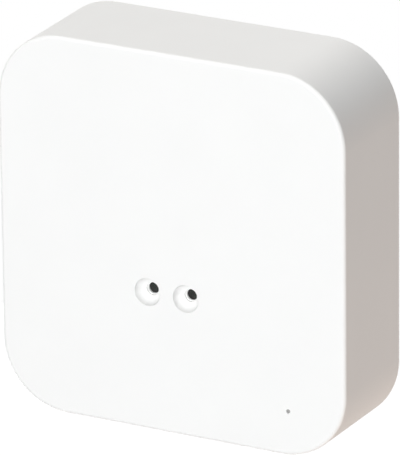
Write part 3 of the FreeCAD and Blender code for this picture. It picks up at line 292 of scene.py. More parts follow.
# turns an outline of (radius, height) about Z: an open outline starts and ends on the axis, a
# ring joins its last point to its first
def lathe(name, outline, ring=False, steps=64):
    shape = bmesh.new()
    ownMap = shape.loops.layers.uv.new("around")
    levels = []
    for radius, height in outline:
        count = steps if radius > 0 else 1
        levels.append([shape.verts.new((radius * math.cos(2 * math.pi * i / steps),
                                        radius * math.sin(2 * math.pi * i / steps),
                                        height)) for i in range(count)])
    pairs = list(zip(range(len(levels)), range(1, len(levels))))
    if ring:
        pairs.append((len(levels) - 1, 0))
    for low, high in pairs:
        for i in range(steps):
            corners = {}
            for level, turn in ((low, i), (low, i + 1), (high, i + 1), (high, i)):
                corners.setdefault(levels[level][turn % len(levels[level])],
                                   (turn / steps, outline[level][1]))
            face = shape.faces.new(list(corners))
            for loop, spot in zip(face.loops, corners.values()):
                loop[ownMap].uv = spot
    bmesh.ops.recalc_face_normals(shape, faces=shape.faces)
    return meshOf(name, shape)


# a plate with this outline, its lower face at height 0 and its upper edges chamfered
def plate(name, outline, height, chamfer):
    shape = bmesh.new()
    face = shape.faces.new([shape.verts.new((x, y, 0)) for x, y in outline])
    grown = bmesh.ops.extrude_face_region(shape, geom=[face])["geom"]
    top = [part for part in grown if isinstance(part, bmesh.types.BMVert)]
    bmesh.ops.translate(shape, vec=(0, 0, height), verts=top)
    bmesh.ops.recalc_face_normals(shape, faces=shape.faces)
    edges = [edge for edge in shape.edges if all(corner in top for corner in edge.verts)]
    bmesh.ops.bevel(shape, geom=edges, offset=chamfer, segments=2, affect="EDGES")
    return meshOf(name, shape)


def roundedBox(name, width, depth, height, edge):
    shape = bmesh.new()
    bmesh.ops.create_cube(shape, size=1)
    bmesh.ops.scale(shape, vec=(width, depth, height), verts=shape.verts)
    bmesh.ops.bevel(shape, geom=shape.edges[:], offset=edge, segments=2, affect="EDGES")
    return meshOf(name, shape)


# brings a shape to its place in the scene, with its top turned to face one way
def standAt(mesh, place, facing):
    turn = Vector(facing).to_track_quat("Z", "Y").to_matrix().to_4x4()
    mesh.transform(Matrix.Translation(place) @ turn @ Matrix.Scale(mm, 4))
    return mesh


# a mesh becomes a piece of the object: finish, body and the solids it stands for, which are hidden
def addPiece(name, mesh, material, body, slot, *nodes):
    mesh.materials.clear()
    mesh.materials.append(material)
    mesh.shade_smooth()
    mesh.set_sharp_from_angle(angle=sharpAngle)
    piece = addObject(name, mesh)
    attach(piece, body)
    if nodes:
        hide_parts(*nodes)
    return piece


# Geometry Nodes helpers. A tree works in millimetres and ends in metres.

socketKinds = {float: "NodeSocketFloat", int: "NodeSocketInt", tuple: "NodeSocketVector",
               bpy.types.Mesh: "NodeSocketGeometry", bpy.types.Material: "NodeSocketMaterial"}


# a new tree with one named input for each value; a mesh, if there is one, comes first
def newShapeTree(name, values):
    tree = bpy.data.node_groups.new(name, "GeometryNodeTree")
    for label, given in values.items():
        tree.interface.new_socket(label, in_out="INPUT", socket_type=socketKinds[type(given)])
    tree.interface.new_socket("Shape", in_out="OUTPUT", socket_type="NodeSocketGeometry")
    return tree, addNode(tree, "NodeGroupInput").outputs


# every tree ends alike: real meshes, turned and placed, in one finish
def closeTree(tree, given, shapes):
    together = addNode(tree, "GeometryNodeJoinGeometry")
    for shape in reversed(shapes):
        tree.links.new(shape.outputs[0], together.inputs["Geometry"])
    placed = addNode(tree, "GeometryNodeTransform", None, {
        "Geometry": together, "Translation": given["Place"], "Rotation": given["Turn"],
        "Scale": (mm, mm, mm)})
    real = addNode(tree, "GeometryNodeRealizeInstances", None, {"Geometry": placed})
    finished = addNode(tree, "GeometryNodeSetMaterial", None, {
        "Geometry": real, "Material": given["Finish"]})
    addNode(tree, "NodeGroupOutput", None, {"Shape": finished})


# a capped tube along a curve; its radius is a share of the width given
def tubeAlong(tree, curve, width, sides, share=0.5):
    radius = addNode(tree, "ShaderNodeMath", {"operation": "MULTIPLY"}, {0: width, 1: share})
    section = addNode(tree, "GeometryNodeCurvePrimitiveCircle", None, {
        "Resolution": sides, "Radius": radius})
    return addNode(tree, "GeometryNodeCurveToMesh", None, {
        "Curve": curve, "Profile Curve": section, "Fill Caps": True})


# runs a tree with these values and returns the plain mesh that it makes; the first call builds
# the tree, and shapeIt adds the nodes of its shape
def growMesh(name, treeName, shapeIt, values):
    tree = bpy.data.node_groups.get(treeName)
    if not tree:
        tree, given = newShapeTree(treeName, values)
        closeTree(tree, given, shapeIt(tree, given))
    seed = addObject(name, values.get("Blank") or bpy.data.meshes.new(name))
    growth = seed.modifiers.new("growth", "NODES")
    growth.node_group = tree
    for socket in tree.interface.items_tree:
        if socket.in_out == "INPUT" and socket.name != "Blank":
            given = values[socket.name]
            growth[socket.identifier] = list(map(float, given)) if type(given) is tuple else given
    evaluated = seed.evaluated_get(bpy.context.evaluated_depsgraph_get())
    mesh = bpy.data.meshes.new_from_object(evaluated)
    bpy.data.objects.remove(seed)
    return mesh


print("stage: helpers ready")


# Acoustic mesh: a plain weave behind each port, cut round and sealed along its rim

# the threads are about twice as coarse as real ones, so that they show
weave = {
    "Radius": 2.28, "Pitch": 0.22, "Thread": 0.12, "Lift": 0.03, "Threads": 21, "Steps": 151,
    "Thread Sides": 6, "Rim": 0.14, "Rim Steps": 48, "Rim Sides": 8,
    "Turn": (math.pi / 2, 0, 0), "Finish": meshPolyester,
}


# straight threads side by side, each of many points
def layThreads(tree, given):
    across = addNode(tree, "ShaderNodeCombineXYZ", None, {"X": given["Radius"]})
    back = addNode(tree, "ShaderNodeVectorMath", {"operation": "SCALE"}, {0: across, "Scale": -1})
    thread = addNode(tree, "GeometryNodeCurvePrimitiveLine", None, {"Start": back, "End": across})
    dense = addNode(tree, "GeometryNodeResampleCurve", None, {
        "Curve": thread, "Count": given["Steps"]})
    gaps = addNode(tree, "ShaderNodeMath", {"operation": "SUBTRACT"}, {0: given["Threads"], 1: 1})
    width = addNode(tree, "ShaderNodeMath", {"operation": "MULTIPLY"}, {0: gaps, 1: given["Pitch"]})
    half = addNode(tree, "ShaderNodeMath", {"operation": "MULTIPLY"}, {0: width, 1: -0.5})
    first = addNode(tree, "ShaderNodeCombineXYZ", None, {"Y": half})
    step = addNode(tree, "ShaderNodeCombineXYZ", None, {"Y": given["Pitch"]})
    row = addNode(tree, "GeometryNodeMeshLine", None, {
        "Count": given["Threads"], "Start Location": first, "Offset": step})
    laid = addNode(tree, "GeometryNodeInstanceOnPoints", None, {"Points": row, "Instance": dense})
    return addNode(tree, "GeometryNodeRealizeInstances", None, {0: laid})


# each thread rises over one crossing and dips under the next
def waveThreads(tree, given, threads):
    spot = addNode(tree, "ShaderNodeSeparateXYZ", None, {
        0: addNode(tree, "GeometryNodeInputPosition")})
    waves = []
    for axis in ("X", "Y"):
        turns = addNode(tree, "ShaderNodeMath", {"operation": "DIVIDE"}, {
            0: spot.outputs[axis], 1: given["Pitch"]})
        angle = addNode(tree, "ShaderNodeMath", {"operation": "MULTIPLY"}, {0: turns, 1: math.pi})
        waves.append(addNode(tree, "ShaderNodeMath", {"operation": "COSINE"}, {0: angle}))
    both = addNode(tree, "ShaderNodeMath", {"operation": "MULTIPLY"}, {0: waves[0], 1: waves[1]})
    lift = addNode(tree, "ShaderNodeMath", {"operation": "MULTIPLY"}, {0: both, 1: given["Lift"]})
    rise = addNode(tree, "ShaderNodeCombineXYZ", None, {"Z": lift})
    return addNode(tree, "GeometryNodeSetPosition", None, {"Geometry": threads, "Offset": rise})


# cuts the warp round, and makes the weft from it, turned over and a quarter round
def weaveMesh(tree, given):
    waved = waveThreads(tree, given, layThreads(tree, given))
    far = addNode(tree, "ShaderNodeVectorMath", {"operation": "LENGTH"}, {
        0: addNode(tree, "GeometryNodeInputPosition")})
    outside = addNode(tree, "ShaderNodeMath", {"operation": "GREATER_THAN"}, {
        0: far.outputs["Value"], 1: given["Radius"]})
    trimmed = addNode(tree, "GeometryNodeDeleteGeometry", {"domain": "POINT"}, {
        "Geometry": waved, "Selection": outside})
    warp = tubeAlong(tree, trimmed, given["Thread"], given["Thread Sides"])
    weft = addNode(tree, "GeometryNodeTransform", None, {
        "Geometry": warp, "Rotation": (math.pi, 0, math.pi / 2)})
    rimLine = addNode(tree, "GeometryNodeCurvePrimitiveCircle", None, {
        "Resolution": given["Rim Steps"], "Radius": given["Radius"]})
    rim = tubeAlong(tree, rimLine, given["Rim"], given["Rim Sides"])
    return [warp, weft, rim]


for side in ("left", "right"):
    values = {**weave, "Place": tuple(middleOf(f"mesh_{side}"))}
    mesh = growMesh(f"acoustic_mesh_{side}", "wovenMesh", weaveMesh, values)
    addPiece(f"acoustic_mesh_{side}", mesh, meshPolyester, "detector", "acoustic_mesh",
             f"mesh_{side}")
print("stage: acoustic mesh woven")


# Cells: a nickel-plated can with its nub, in a printed film that turns over both ends

# a cell's radius and length come from its solid; a pair is how far an edge reaches in and down
cellForm = {
    "film": 0.12, "filmBend": 0.6, "filmLap": 1.5, "footLap": 0.9, "innerBend": 0.65, "play": 0.02,
    "dishRadius": 4.4, "dishSlope": 0.4, "dishDepth": 0.2, "footEdge": 0.7,
    "topEdge": (0.6, 0.8), "topDrop": 0.25, "collar": (0.9, 0.5), "collarDrop": 0.05,
    "nubRadius": 2.7, "nubHeight": 1.4, "nubDraft": 0.06, "nubEdge": (0.5, 0.3), "softness": 0.3,
}


def addCell(side, facing):
    low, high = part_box(f"cell_{side}")
    radius, length = (high.x - low.x) / 2 / mm, (high.z - low.z) / mm
    film, bend, lap, play, nub, dish = (
        cellForm[k] for k in ("film", "filmBend", "filmLap", "play", "nubRadius", "dishRadius"))
    steel = radius - film
    shoulder = length - cellForm["nubHeight"]
    top, collar = shoulder - cellForm["topDrop"], shoulder - cellForm["collarDrop"]
    can = lathe(f"cell_can_{side}", softened([
        (0, cellForm["dishDepth"]), (dish, cellForm["dishDepth"]),
        (dish + cellForm["dishSlope"], 0), (steel - cellForm["footEdge"], 0),
        (steel - play, cellForm["footEdge"]), (steel - play, shoulder - cellForm["topEdge"][1]),
        (steel - cellForm["topEdge"][0], top), (nub + cellForm["collar"][0], top),
        (nub + cellForm["collar"][1], collar), (nub, collar),
        (nub - cellForm["nubDraft"], length - cellForm["nubEdge"][1]),
        (nub - cellForm["nubEdge"][0], length), (0, length)], cellForm["softness"]))
    outerTop, innerTop = shoulder - play, shoulder - play - film
    footLap, inner = radius - cellForm["footLap"], cellForm["innerBend"]
    sleeve = lathe(f"cell_sleeve_{side}", softened([
        (radius, length / 2), (radius, shoulder - bend), (radius - bend, outerTop),
        (radius - lap, outerTop), (radius - lap, innerTop), (steel - bend, innerTop),
        (steel, shoulder - inner), (steel, inner), (steel - bend, play + film),
        (footLap, play + film), (footLap, play), (radius - bend, play), (radius, bend),
        (radius, length / 2 - 1)], cellForm["softness"]), ring=True)
    centre = (low + high) / 2
    foot = (centre.x, centre.y, low.z if facing > 0 else high.z)
    for name, mesh, material, slot in (("can", can, nickelSteel, "nickel_steel"),
                                       ("sleeve", sleeve, cellFilm, "cell_sleeve")):
        standAt(mesh, foot, (0, 0, facing))
        addPiece(f"cell_{name}_{side}", mesh, material, "detector", slot, f"cell_{side}")


addCell("left", 1)
addCell("right", -1)
print("stage: cells made")


# Coils: wire wound at a steady pitch between end turns that close on themselves

# alike for all: each closed turn rises by this many wires
coilDetail = {"Closed Pitch": 1.05, "Steps Per Turn": 36.0, "Wire Sides": 12}
cellSpring = {"Foot Radius": 4.0, "Top Radius": 2.8, "Length": 5.3, "Turns": 5.0,
              "Closed Turns": 0.9, "Wire": 0.6, "Finish": nickelSteel}
plungerSpring = {"Foot Radius": 1.6, "Top Radius": 1.6, "Length": 6.6, "Turns": 7.0,
                 "Closed Turns": 0.8, "Wire": 0.4, "Finish": nickelSteel}
aerialCoil = {"Foot Radius": 2.2, "Top Radius": 2.2, "Length": 15.0, "Turns": 10.0,
              "Closed Turns": 0.5, "Wire": 0.6, "Finish": copperWire}


def windWire(tree, given):
    line = addNode(tree, "GeometryNodeCurvePrimitiveLine")
    steps = addNode(tree, "ShaderNodeMath", {"operation": "MULTIPLY"}, {
        0: given["Turns"], 1: given["Steps Per Turn"]})
    dense = addNode(tree, "GeometryNodeResampleCurve", None, {"Curve": line, "Count": steps})
    along = addNode(tree, "GeometryNodeSplineParameter")
    turn = addNode(tree, "ShaderNodeMath", {"operation": "MULTIPLY"}, {
        0: along.outputs["Factor"], 1: given["Turns"]})
    lastTurn = addNode(tree, "ShaderNodeMath", {"operation": "SUBTRACT"}, {
        0: given["Turns"], 1: given["Closed Turns"]})
    closedWires = addNode(tree, "ShaderNodeMath", {"operation": "MULTIPLY"}, {
        0: given["Wire"], 1: given["Closed Turns"]})
    closedRise = addNode(tree, "ShaderNodeMath", {"operation": "MULTIPLY"}, {
        0: closedWires, 1: given["Closed Pitch"]})
    space = addNode(tree, "ShaderNodeMath", {"operation": "SUBTRACT"}, {
        0: given["Length"], 1: given["Wire"]})
    openRise = addNode(tree, "ShaderNodeMath", {"operation": "MULTIPLY_ADD"}, {
        0: closedRise, 1: -2, 2: space})

    # the height grows over the closed turns, the open ones and the closed ones again
    height = addNode(tree, "ShaderNodeMath", {"operation": "MULTIPLY"}, {0: given["Wire"], 1: 0.5})
    for start, end, rise in ((0.0, given["Closed Turns"], closedRise),
                             (given["Closed Turns"], lastTurn, openRise),
                             (lastTurn, given["Turns"], closedRise)):
        part = addNode(tree, "ShaderNodeMapRange", None, {
            "Value": turn, "From Min": start, "From Max": end, "To Max": rise})
        height = addNode(tree, "ShaderNodeMath", {"operation": "ADD"}, {0: height, 1: part})
    radius = addNode(tree, "ShaderNodeMapRange", None, {
        "Value": turn, "From Min": given["Closed Turns"], "From Max": lastTurn,
        "To Min": given["Foot Radius"], "To Max": given["Top Radius"]})
    angle = addNode(tree, "ShaderNodeMath", {"operation": "MULTIPLY"}, {0: turn, 1: 2 * math.pi})
    place = {"Z": height}
    for axis, wave in (("X", "COSINE"), ("Y", "SINE")):
        swing = addNode(tree, "ShaderNodeMath", {"operation": wave}, {0: angle})
        place[axis] = addNode(tree, "ShaderNodeMath", {"operation": "MULTIPLY"}, {
            0: swing, 1: radius})
    spot = addNode(tree, "ShaderNodeCombineXYZ", None, place)
    wound = addNode(tree, "GeometryNodeSetPosition", None, {"Geometry": dense, "Position": spot})
    return [tubeAlong(tree, wound, given["Wire"], given["Wire Sides"])]


def addCoil(name, node, look, place, turn, slot):
    mesh = growMesh(name, "woundWire", windWire, {
        **coilDetail, **look, "Place": tuple(place), "Turn": turn})
    return addPiece(name, mesh, look["Finish"], "detector", slot, node)


# each cell spring stands on its contact, on the axis of its cell
for name, side, end, turn in (("negative", "left", 0, 0.0), ("bridge", "right", 1, math.pi)):
    cell = middleOf(f"cell_{side}")
    addCoil(f"cell_spring_{name}", f"spring_{name}", cellSpring,
            (cell.x, cell.y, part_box(f"spring_{name}")[end].z), (turn, 0, 0), "nickel_steel")
aerialLow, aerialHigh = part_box("aerial")
aerialMiddle = middleOf("aerial")
addCoil("aerial_coil", "aerial", aerialCoil,
        (aerialMiddle.x, aerialMiddle.y, aerialLow.z), (0, 0, -math.pi / 2), "copper_wire")

# the plunger's spring gets a mesh of its own; the real one shortens against its switch as the
# plunger is pressed in
low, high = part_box("tamper_spring")
plungerCoil = addCoil("plunger_spring", "tamper_spring", plungerSpring,
                      ((low.x + high.x) / 2, high.y, (low.z + high.z) / 2),
                      (math.pi / 2, 0, 0), "nickel_steel")
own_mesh(plungerCoil)
print("stage: coils wound")


# Screws: a turned blank with a cross recess and a thread ridge, set four at a time

caseScrew = {
    "head": 2.3, "headHeight": 1.2, "core": 0.98, "length": 9.0, "pitch": 0.9,
    "recess": (2.6, 0.62, 1.3), "seed": 7,
}
boardScrew = {
    "head": 1.8, "headHeight": 1.2, "core": 0.76, "length": 5.0, "pitch": 0.7,
    "recess": (2.1, 0.52, 1.2), "seed": 3,
}
screwForm = {
    "taper": 1.3, "neck": (0.25, 0.1), "softness": 0.2,
    "tip": (0.35, 0.1),  # a share of the core, and a height
    "crown": (0.72, 0.92), "crownFlat": 0.4, "headSide": 0.5,  # shares of the head
    "threadShare": 0.78, "threadFoot": -1.12, "ridge": 0.28,  # of the shank, the thread, the pitch
    "blankSteps": 40, "threadSteps": 20, "ridgeSides": 3,
}


def driveScrews(tree, given):
    bar = addNode(tree, "GeometryNodeMeshCube", None, {"Size": given["Recess"]})
    top = addNode(tree, "ShaderNodeCombineXYZ", None, {"Z": given["Head Height"]})
    driven = addNode(tree, "GeometryNodeMeshBoolean", {"operation": "DIFFERENCE"}, {
        "Mesh 1": given["Blank"]})
    for turn in (0, math.pi / 2):
        cutter = addNode(tree, "GeometryNodeTransform", None, {
            "Geometry": bar, "Translation": top, "Rotation": (0, 0, turn)})
        tree.links.new(cutter.outputs[0], driven.inputs["Mesh 2"])
    rounds = addNode(tree, "ShaderNodeMath", {"operation": "DIVIDE"}, {
        0: given["Thread Length"], 1: given["Thread Pitch"]})
    spiral = addNode(tree, "GeometryNodeCurveSpiral", None, {
        "Resolution": given["Thread Steps"], "Rotations": rounds,
        "Start Radius": given["Thread Radius"], "End Radius": given["Thread Radius"],
        "Height": given["Thread Length"]})
    ridge = tubeAlong(tree, spiral, given["Thread Pitch"], given["Ridge Sides"],
                      given["Ridge Share"])
    down = addNode(tree, "ShaderNodeMath", {"operation": "MULTIPLY"}, {
        0: given["Thread Length"], 1: given["Thread Foot"]})
    below = addNode(tree, "ShaderNodeCombineXYZ", None, {"Z": down})
    thread = addNode(tree, "GeometryNodeTransform", None, {"Geometry": ridge, "Translation": below})
    screw = addNode(tree, "GeometryNodeJoinGeometry")
    for shape in (thread, driven):
        tree.links.new(shape.outputs[0], screw.inputs[0])

    # one at each corner of a rectangle, each left at its own angle by the driver
    corners = addNode(tree, "GeometryNodeMeshGrid", None, {
        "Size X": given["Across"], "Size Y": given["Upright"], "Vertices X": 2, "Vertices Y": 2})
    chance = addNode(tree, "FunctionNodeRandomValue", {"data_type": "FLOAT"}, {
        3: 2 * math.pi, "Seed": given["Seed"]})
    spin = addNode(tree, "ShaderNodeCombineXYZ", None, {"Z": chance.outputs[1]})
    spun = addNode(tree, "FunctionNodeEulerToRotation", None, {0: spin})
    placed = addNode(tree, "GeometryNodeInstanceOnPoints", None, {
        "Points": corners, "Instance": screw, "Rotation": spun})
    return [placed]


# facing is 1 where the heads look at the wall and -1 where they look at the face
def addScrews(name, node, look, facing):
    low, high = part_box(node)
    head, top, core, length = (look[k] for k in ("head", "headHeight", "core", "length"))
    tip, neck, crown = (screwForm[k] for k in ("tip", "neck", "crown"))
    blank = lathe(name + "_blank", softened([
        (0, -length), (core * tip[0], -length + tip[1]), (core, -length + screwForm["taper"]),
        (core, -neck[1]), (core + neck[0], 0), (head, 0), (head, top * screwForm["headSide"]),
        (head * crown[0], top * crown[1]), (head * screwForm["crownFlat"], top), (0, top)],
        screwForm["softness"]), steps=screwForm["blankSteps"])
    seat = high.y - top * mm if facing > 0 else low.y + top * mm
    mesh = growMesh(name, "drivenScrews", driveScrews, {
        "Blank": blank, "Head Height": top, "Recess": look["recess"],
        "Thread Radius": core, "Thread Pitch": look["pitch"],
        "Thread Length": length * screwForm["threadShare"],
        "Thread Steps": screwForm["threadSteps"], "Thread Foot": screwForm["threadFoot"],
        "Ridge Share": screwForm["ridge"], "Ridge Sides": screwForm["ridgeSides"],
        "Across": (high.x - low.x) / mm - 2 * head, "Upright": (high.z - low.z) / mm - 2 * head,
        "Seed": look["seed"], "Place": (0.0, seat, 0.0), "Turn": (-facing * math.pi / 2, 0, 0),
        "Finish": zincSteel})
    addPiece(name, mesh, zincSteel, "detector", "zinc_steel", node)


addScrews("case_screw_set", "case_screws", caseScrew, 1)
addScrews("board_screw_set", "board_screws", boardScrew, -1)
print("stage: screws driven")


# Small parts that stand in rows: a blank repeated along two steps

def standInRows(tree, given):
    rows = [addNode(tree, "GeometryNodeMeshLine", None, {
        "Count": given[f"Count {label}"], "Offset": given[f"Step {label}"]}) for label in "AB"]
    crossed = addNode(tree, "GeometryNodeInstanceOnPoints", None, {
        "Points": rows[0], "Instance": rows[1]})
    points = addNode(tree, "GeometryNodeRealizeInstances", None, {0: crossed})
    placed = addNode(tree, "GeometryNodeInstanceOnPoints", None, {
        "Points": points, "Instance": given["Blank"]})
    return [placed]


# the first blank lies at the place given; each row is a count and its step in X and Y of the
# blank's own turned axes
def addRows(name, blank, rowA, rowB, place, turn, material, slot, body="detector"):
    mesh = growMesh(name, "rowsOfParts", standInRows, {
        "Blank": blank, "Count A": rowA[0], "Step A": (*rowA[1:], 0.0),
        "Count B": rowB[0], "Step B": (*rowB[1:], 0.0),
        "Place": tuple(place), "Turn": turn, "Finish": material})
    return addPiece(name, mesh, material, body, slot)


once = (1, 0.0, 0.0)  # the second row of what stands in a single one
towardWall = (-math.pi / 2, 0, 0)  # a shape's top looks at the wall, its own Y points down
towardFace = (math.pi / 2, 0, 0)  # a shape's top looks at the face, its own Y points up

# reservoir capacitor: a drawn can with a rolled groove, on a square moulded base
reservoir = {
    "base": 0.8, "baseInset": 0.1, "baseEdge": 0.15, "groove": 0.28, "grooveAt": 1.9,
    "grooveHalf": 0.4, "topEdge": 0.35, "rimDrop": 0.02, "rim": 0.8, "panel": 0.95,
    "panelDrop": 0.12, "softness": 0.25,
}


def addReservoir():
    low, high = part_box("reservoir_capacitor")
    centre = (low + high) / 2
    side, tall = (high.x - low.x) / mm, (high.y - low.y) / mm
    radius = side / 2
    base, at, half, topEdge = (reservoir[k] for k in ("base", "grooveAt", "grooveHalf", "topEdge"))
    rim, panel = tall - reservoir["rimDrop"], tall - reservoir["panelDrop"]
    can = lathe("reservoir_can", softened([
        (0, base), (radius, base), (radius, at - half), (radius - reservoir["groove"], at),
        (radius, at + half), (radius, tall - topEdge), (radius - topEdge, rim),
        (radius - reservoir["rim"], rim), (radius - reservoir["panel"], panel), (0, panel)],
        reservoir["softness"]))
    standAt(can, (centre.x, low.y, centre.z), (0, 1, 0))
    addPiece("reservoir_can", can, canAluminium, "detector", "capacitor_can", "reservoir_capacitor")
    foot = side - reservoir["baseInset"]
    block = roundedBox("reservoir_base", foot, foot, base, reservoir["baseEdge"])
    standAt(block, (centre.x, low.y + base / 2 * mm, centre.z), (0, 1, 0))
    addPiece("reservoir_base", block, chipEpoxy, "detector", "capacitor_can", "reservoir_capacitor")


addReservoir()

# tinned terminals over both ends of each chip
chip = {"rows": 4, "pitch": 3.4, "length": 2.0, "width": 1.25, "cap": 0.4,
        "proud": 0.03, "edge": 0.05}
chipLow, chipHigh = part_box("chip_parts")
for side, start in (("left", chipLow.x), ("right", chipHigh.x - chip["length"] * mm)):
    thick = (chipHigh.y - chipLow.y) / mm + chip["proud"]
    tall = chip["width"] + 2 * chip["proud"]
    cap = roundedBox(f"chip_cap_{side}", chip["cap"], tall, thick, chip["edge"])
    addRows(f"chip_terminals_{side}", cap,
            (2, chip["length"] - chip["cap"] + 2 * chip["proud"], 0.0),
            (chip["rows"], 0.0, chip["pitch"]),
            (start + (chip["cap"] / 2 - chip["proud"]) * mm,
             chipLow.y + thick / 2 * mm, chipHigh.z - chip["width"] / 2 * mm),
            towardWall, reflowedSolder, "tinned_steel")

# the processor's pads along its four sides
padRow = {"count": 8, "pitch": 0.65, "width": 0.32, "reach": 0.5, "thick": 0.2, "proud": 0.06,
          "edge": 0.04}
low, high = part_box("processor")
run = (padRow["count"] - 1) * padRow["pitch"]
side = (high.x - low.x) / mm
opposite = side - padRow["reach"] + 2 * padRow["proud"]
outer = (padRow["reach"] / 2 - padRow["proud"]) * mm
inset = (side - run) / 2 * mm
for name, size, start, steps in (
        ("sides", (padRow["reach"], padRow["width"]), (low.x + outer, high.z - inset),
         ((padRow["count"], 0.0, padRow["pitch"]), (2, opposite, 0.0))),
        ("ends", (padRow["width"], padRow["reach"]), (low.x + inset, high.z - outer),
         ((padRow["count"], padRow["pitch"], 0.0), (2, 0.0, opposite)))):
    pad = roundedBox("processor_pad", *size, padRow["thick"], padRow["edge"])
    addRows(f"processor_pads_{name}", pad, *steps,
            (start[0], low.y + padRow["thick"] / 2 * mm, start[1]), towardWall,
            reflowedSolder, "tinned_steel")

# solder: fillets along the radio board, and domes where wires and tabs come through
solder = {
    "fillet": {"radius": 0.42, "height": 0.55}, "fillets": 9, "filletPitch": 1.8,
    "aerial": {"radius": 0.75, "height": 0.5}, "tab": {"radius": 1.7, "height": 0.55},
    "outline": [(0, 0), (1, 0), (0.93, 0.18), (0.78, 0.45), (0.55, 0.75), (0.28, 0.95), (0, 1)],
    "steps": 18,
}


def solderDome(name, look):
    outline = [(r * look["radius"], z * look["height"]) for r, z in solder["outline"]]
    return lathe(name, outline, steps=solder["steps"])


radioLow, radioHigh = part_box("radio_board")
filletRun = (solder["fillets"] - 1) / 2 * solder["filletPitch"] * mm
addRows("radio_solder", solderDome("radio_fillet", solder["fillet"]),
        (2, (radioHigh.x - radioLow.x) / mm, 0.0),
        (solder["fillets"], 0.0, solder["filletPitch"]),
        (radioLow.x, radioLow.y, (radioLow.z + radioHigh.z) / 2 + filletRun),
        towardWall, reflowedSolder, "tinned_steel")
addRows("aerial_solder", solderDome("aerial_joint", solder["aerial"]),
        (2, 0.0, (aerialHigh.z - aerialLow.z) / mm - aerialCoil["Wire"]), once,
        (aerialMiddle.x, radioLow.y, aerialHigh.z - aerialCoil["Wire"] / 2 * mm),
        towardWall, reflowedSolder, "tinned_steel")
tab = middleOf("contact_negative")
addRows("tab_solder", solderDome("tab_joint", solder["tab"]),
        (2, -2 * tab.x / mm, 0.0), once,
        (tab.x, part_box("main_board")[0].y, tab.z), towardFace, reflowedSolder, "tinned_steel")

# spot marks where the shield's lid is welded to its frame
spots = {"across": 4, "upright": 6, "inset": 0.8, "radius": 0.3, "height": 0.06}
shieldLow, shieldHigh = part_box("radio_shield")
gapX = ((shieldHigh.x - shieldLow.x) / mm - 2 * spots["inset"]) / (spots["across"] - 1)
gapZ = ((shieldHigh.z - shieldLow.z) / mm - 2 * spots["inset"]) / (spots["upright"] - 1)
addRows("shield_spots", solderDome("shield_spot", spots),
        (spots["across"], gapX, 0.0), (spots["upright"], 0.0, gapZ),
        (shieldLow.x + spots["inset"] * mm, shieldHigh.y, shieldHigh.z - spots["inset"] * mm),
        towardWall, tinnedSteel, "tinned_steel")

# board switches: a sheet cover round the stem, held by four melted studs, and four legs
switchForm = {
    "cover": 5.7, "sheet": 0.14, "hole": 2.05, "holeSides": 48, "drill": 2.0,
    "stud": {"radius": 0.42, "height": 0.14}, "studGap": 4.3,
    "leg": (0.9, 0.7, 0.3), "legShare": 0.6, "legEdge": 0.06, "legGap": 4.5,
}


def cutCover(tree, given):
    size = addNode(tree, "ShaderNodeCombineXYZ", None, {
        "X": given["Side"], "Y": given["Side"], "Z": given["Sheet"]})
    blank = addNode(tree, "GeometryNodeMeshCube", None, {"Size": size})
    drill = addNode(tree, "GeometryNodeMeshCylinder", None, {
        "Vertices": given["Hole Sides"], "Radius": given["Hole"], "Depth": given["Drill Depth"]})
    cover = addNode(tree, "GeometryNodeMeshBoolean", {"operation": "DIFFERENCE"}, {
        "Mesh 1": blank, "Mesh 2": drill})
    return [cover]


for name in ("tamper", "enrol"):
    low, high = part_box(f"{name}_switch")
    centre = (low + high) / 2
    sheet, studGap, legGap = (switchForm[k] for k in ("sheet", "studGap", "legGap"))
    cover = growMesh(f"{name}_switch_cover", "sheetCover", cutCover, {
        "Side": switchForm["cover"], "Sheet": sheet, "Hole": switchForm["hole"],
        "Hole Sides": switchForm["holeSides"], "Drill Depth": switchForm["drill"],
        "Place": (centre.x, high.y + sheet / 2 * mm, centre.z),
        "Turn": towardWall, "Finish": tinnedSteel})
    addPiece(f"{name}_switch_cover", cover, tinnedSteel, "detector", "tinned_steel")
    addRows(f"{name}_switch_studs", solderDome(f"{name}_stud", switchForm["stud"]),
            (2, studGap, 0.0), (2, 0.0, studGap),
            (centre.x - studGap / 2 * mm, high.y + sheet * mm, centre.z + studGap / 2 * mm),
            towardWall, blackPbt, "black_plastic")
    legWidth, legDepth, legThick = switchForm["leg"]
    reach = (high.x - low.x) / mm + legWidth * switchForm["legShare"]
    leg = roundedBox(f"{name}_leg", legWidth, legDepth, legThick, switchForm["legEdge"])
    addRows(f"{name}_switch_legs", leg,
            (2, reach, 0.0), (2, 0.0, legGap),
            (centre.x - reach / 2 * mm, low.y + legThick / 2 * mm, centre.z + legGap / 2 * mm),
            towardWall, tinnedSteel, "tinned_steel")
print("stage: board parts added")


# Marks that moulding leaves or the mould adds, all raised a little from their surface

# ejector rings on the chassis, where the mould's pins pushed it out
ejector = {"radius": 1.9, "width": 0.16, "height": 0.07, "across": 62.0, "upright": 27.0,
           "steps": 48}
outer, inner = ejector["radius"], ejector["radius"] - ejector["width"]
ring = lathe("ejector_ring", [
    (outer, 0), (outer, ejector["height"]), (inner, ejector["height"]), (inner, 0)],
    ring=True, steps=ejector["steps"])
addRows("ejector_rings", ring,
        (2, ejector["across"], 0.0), (2, 0.0, ejector["upright"]),
        (-ejector["across"] / 2 * mm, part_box("rear_chassis")[1].y, ejector["upright"] / 2 * mm),
        towardWall, chassisAbs, "white_chassis")

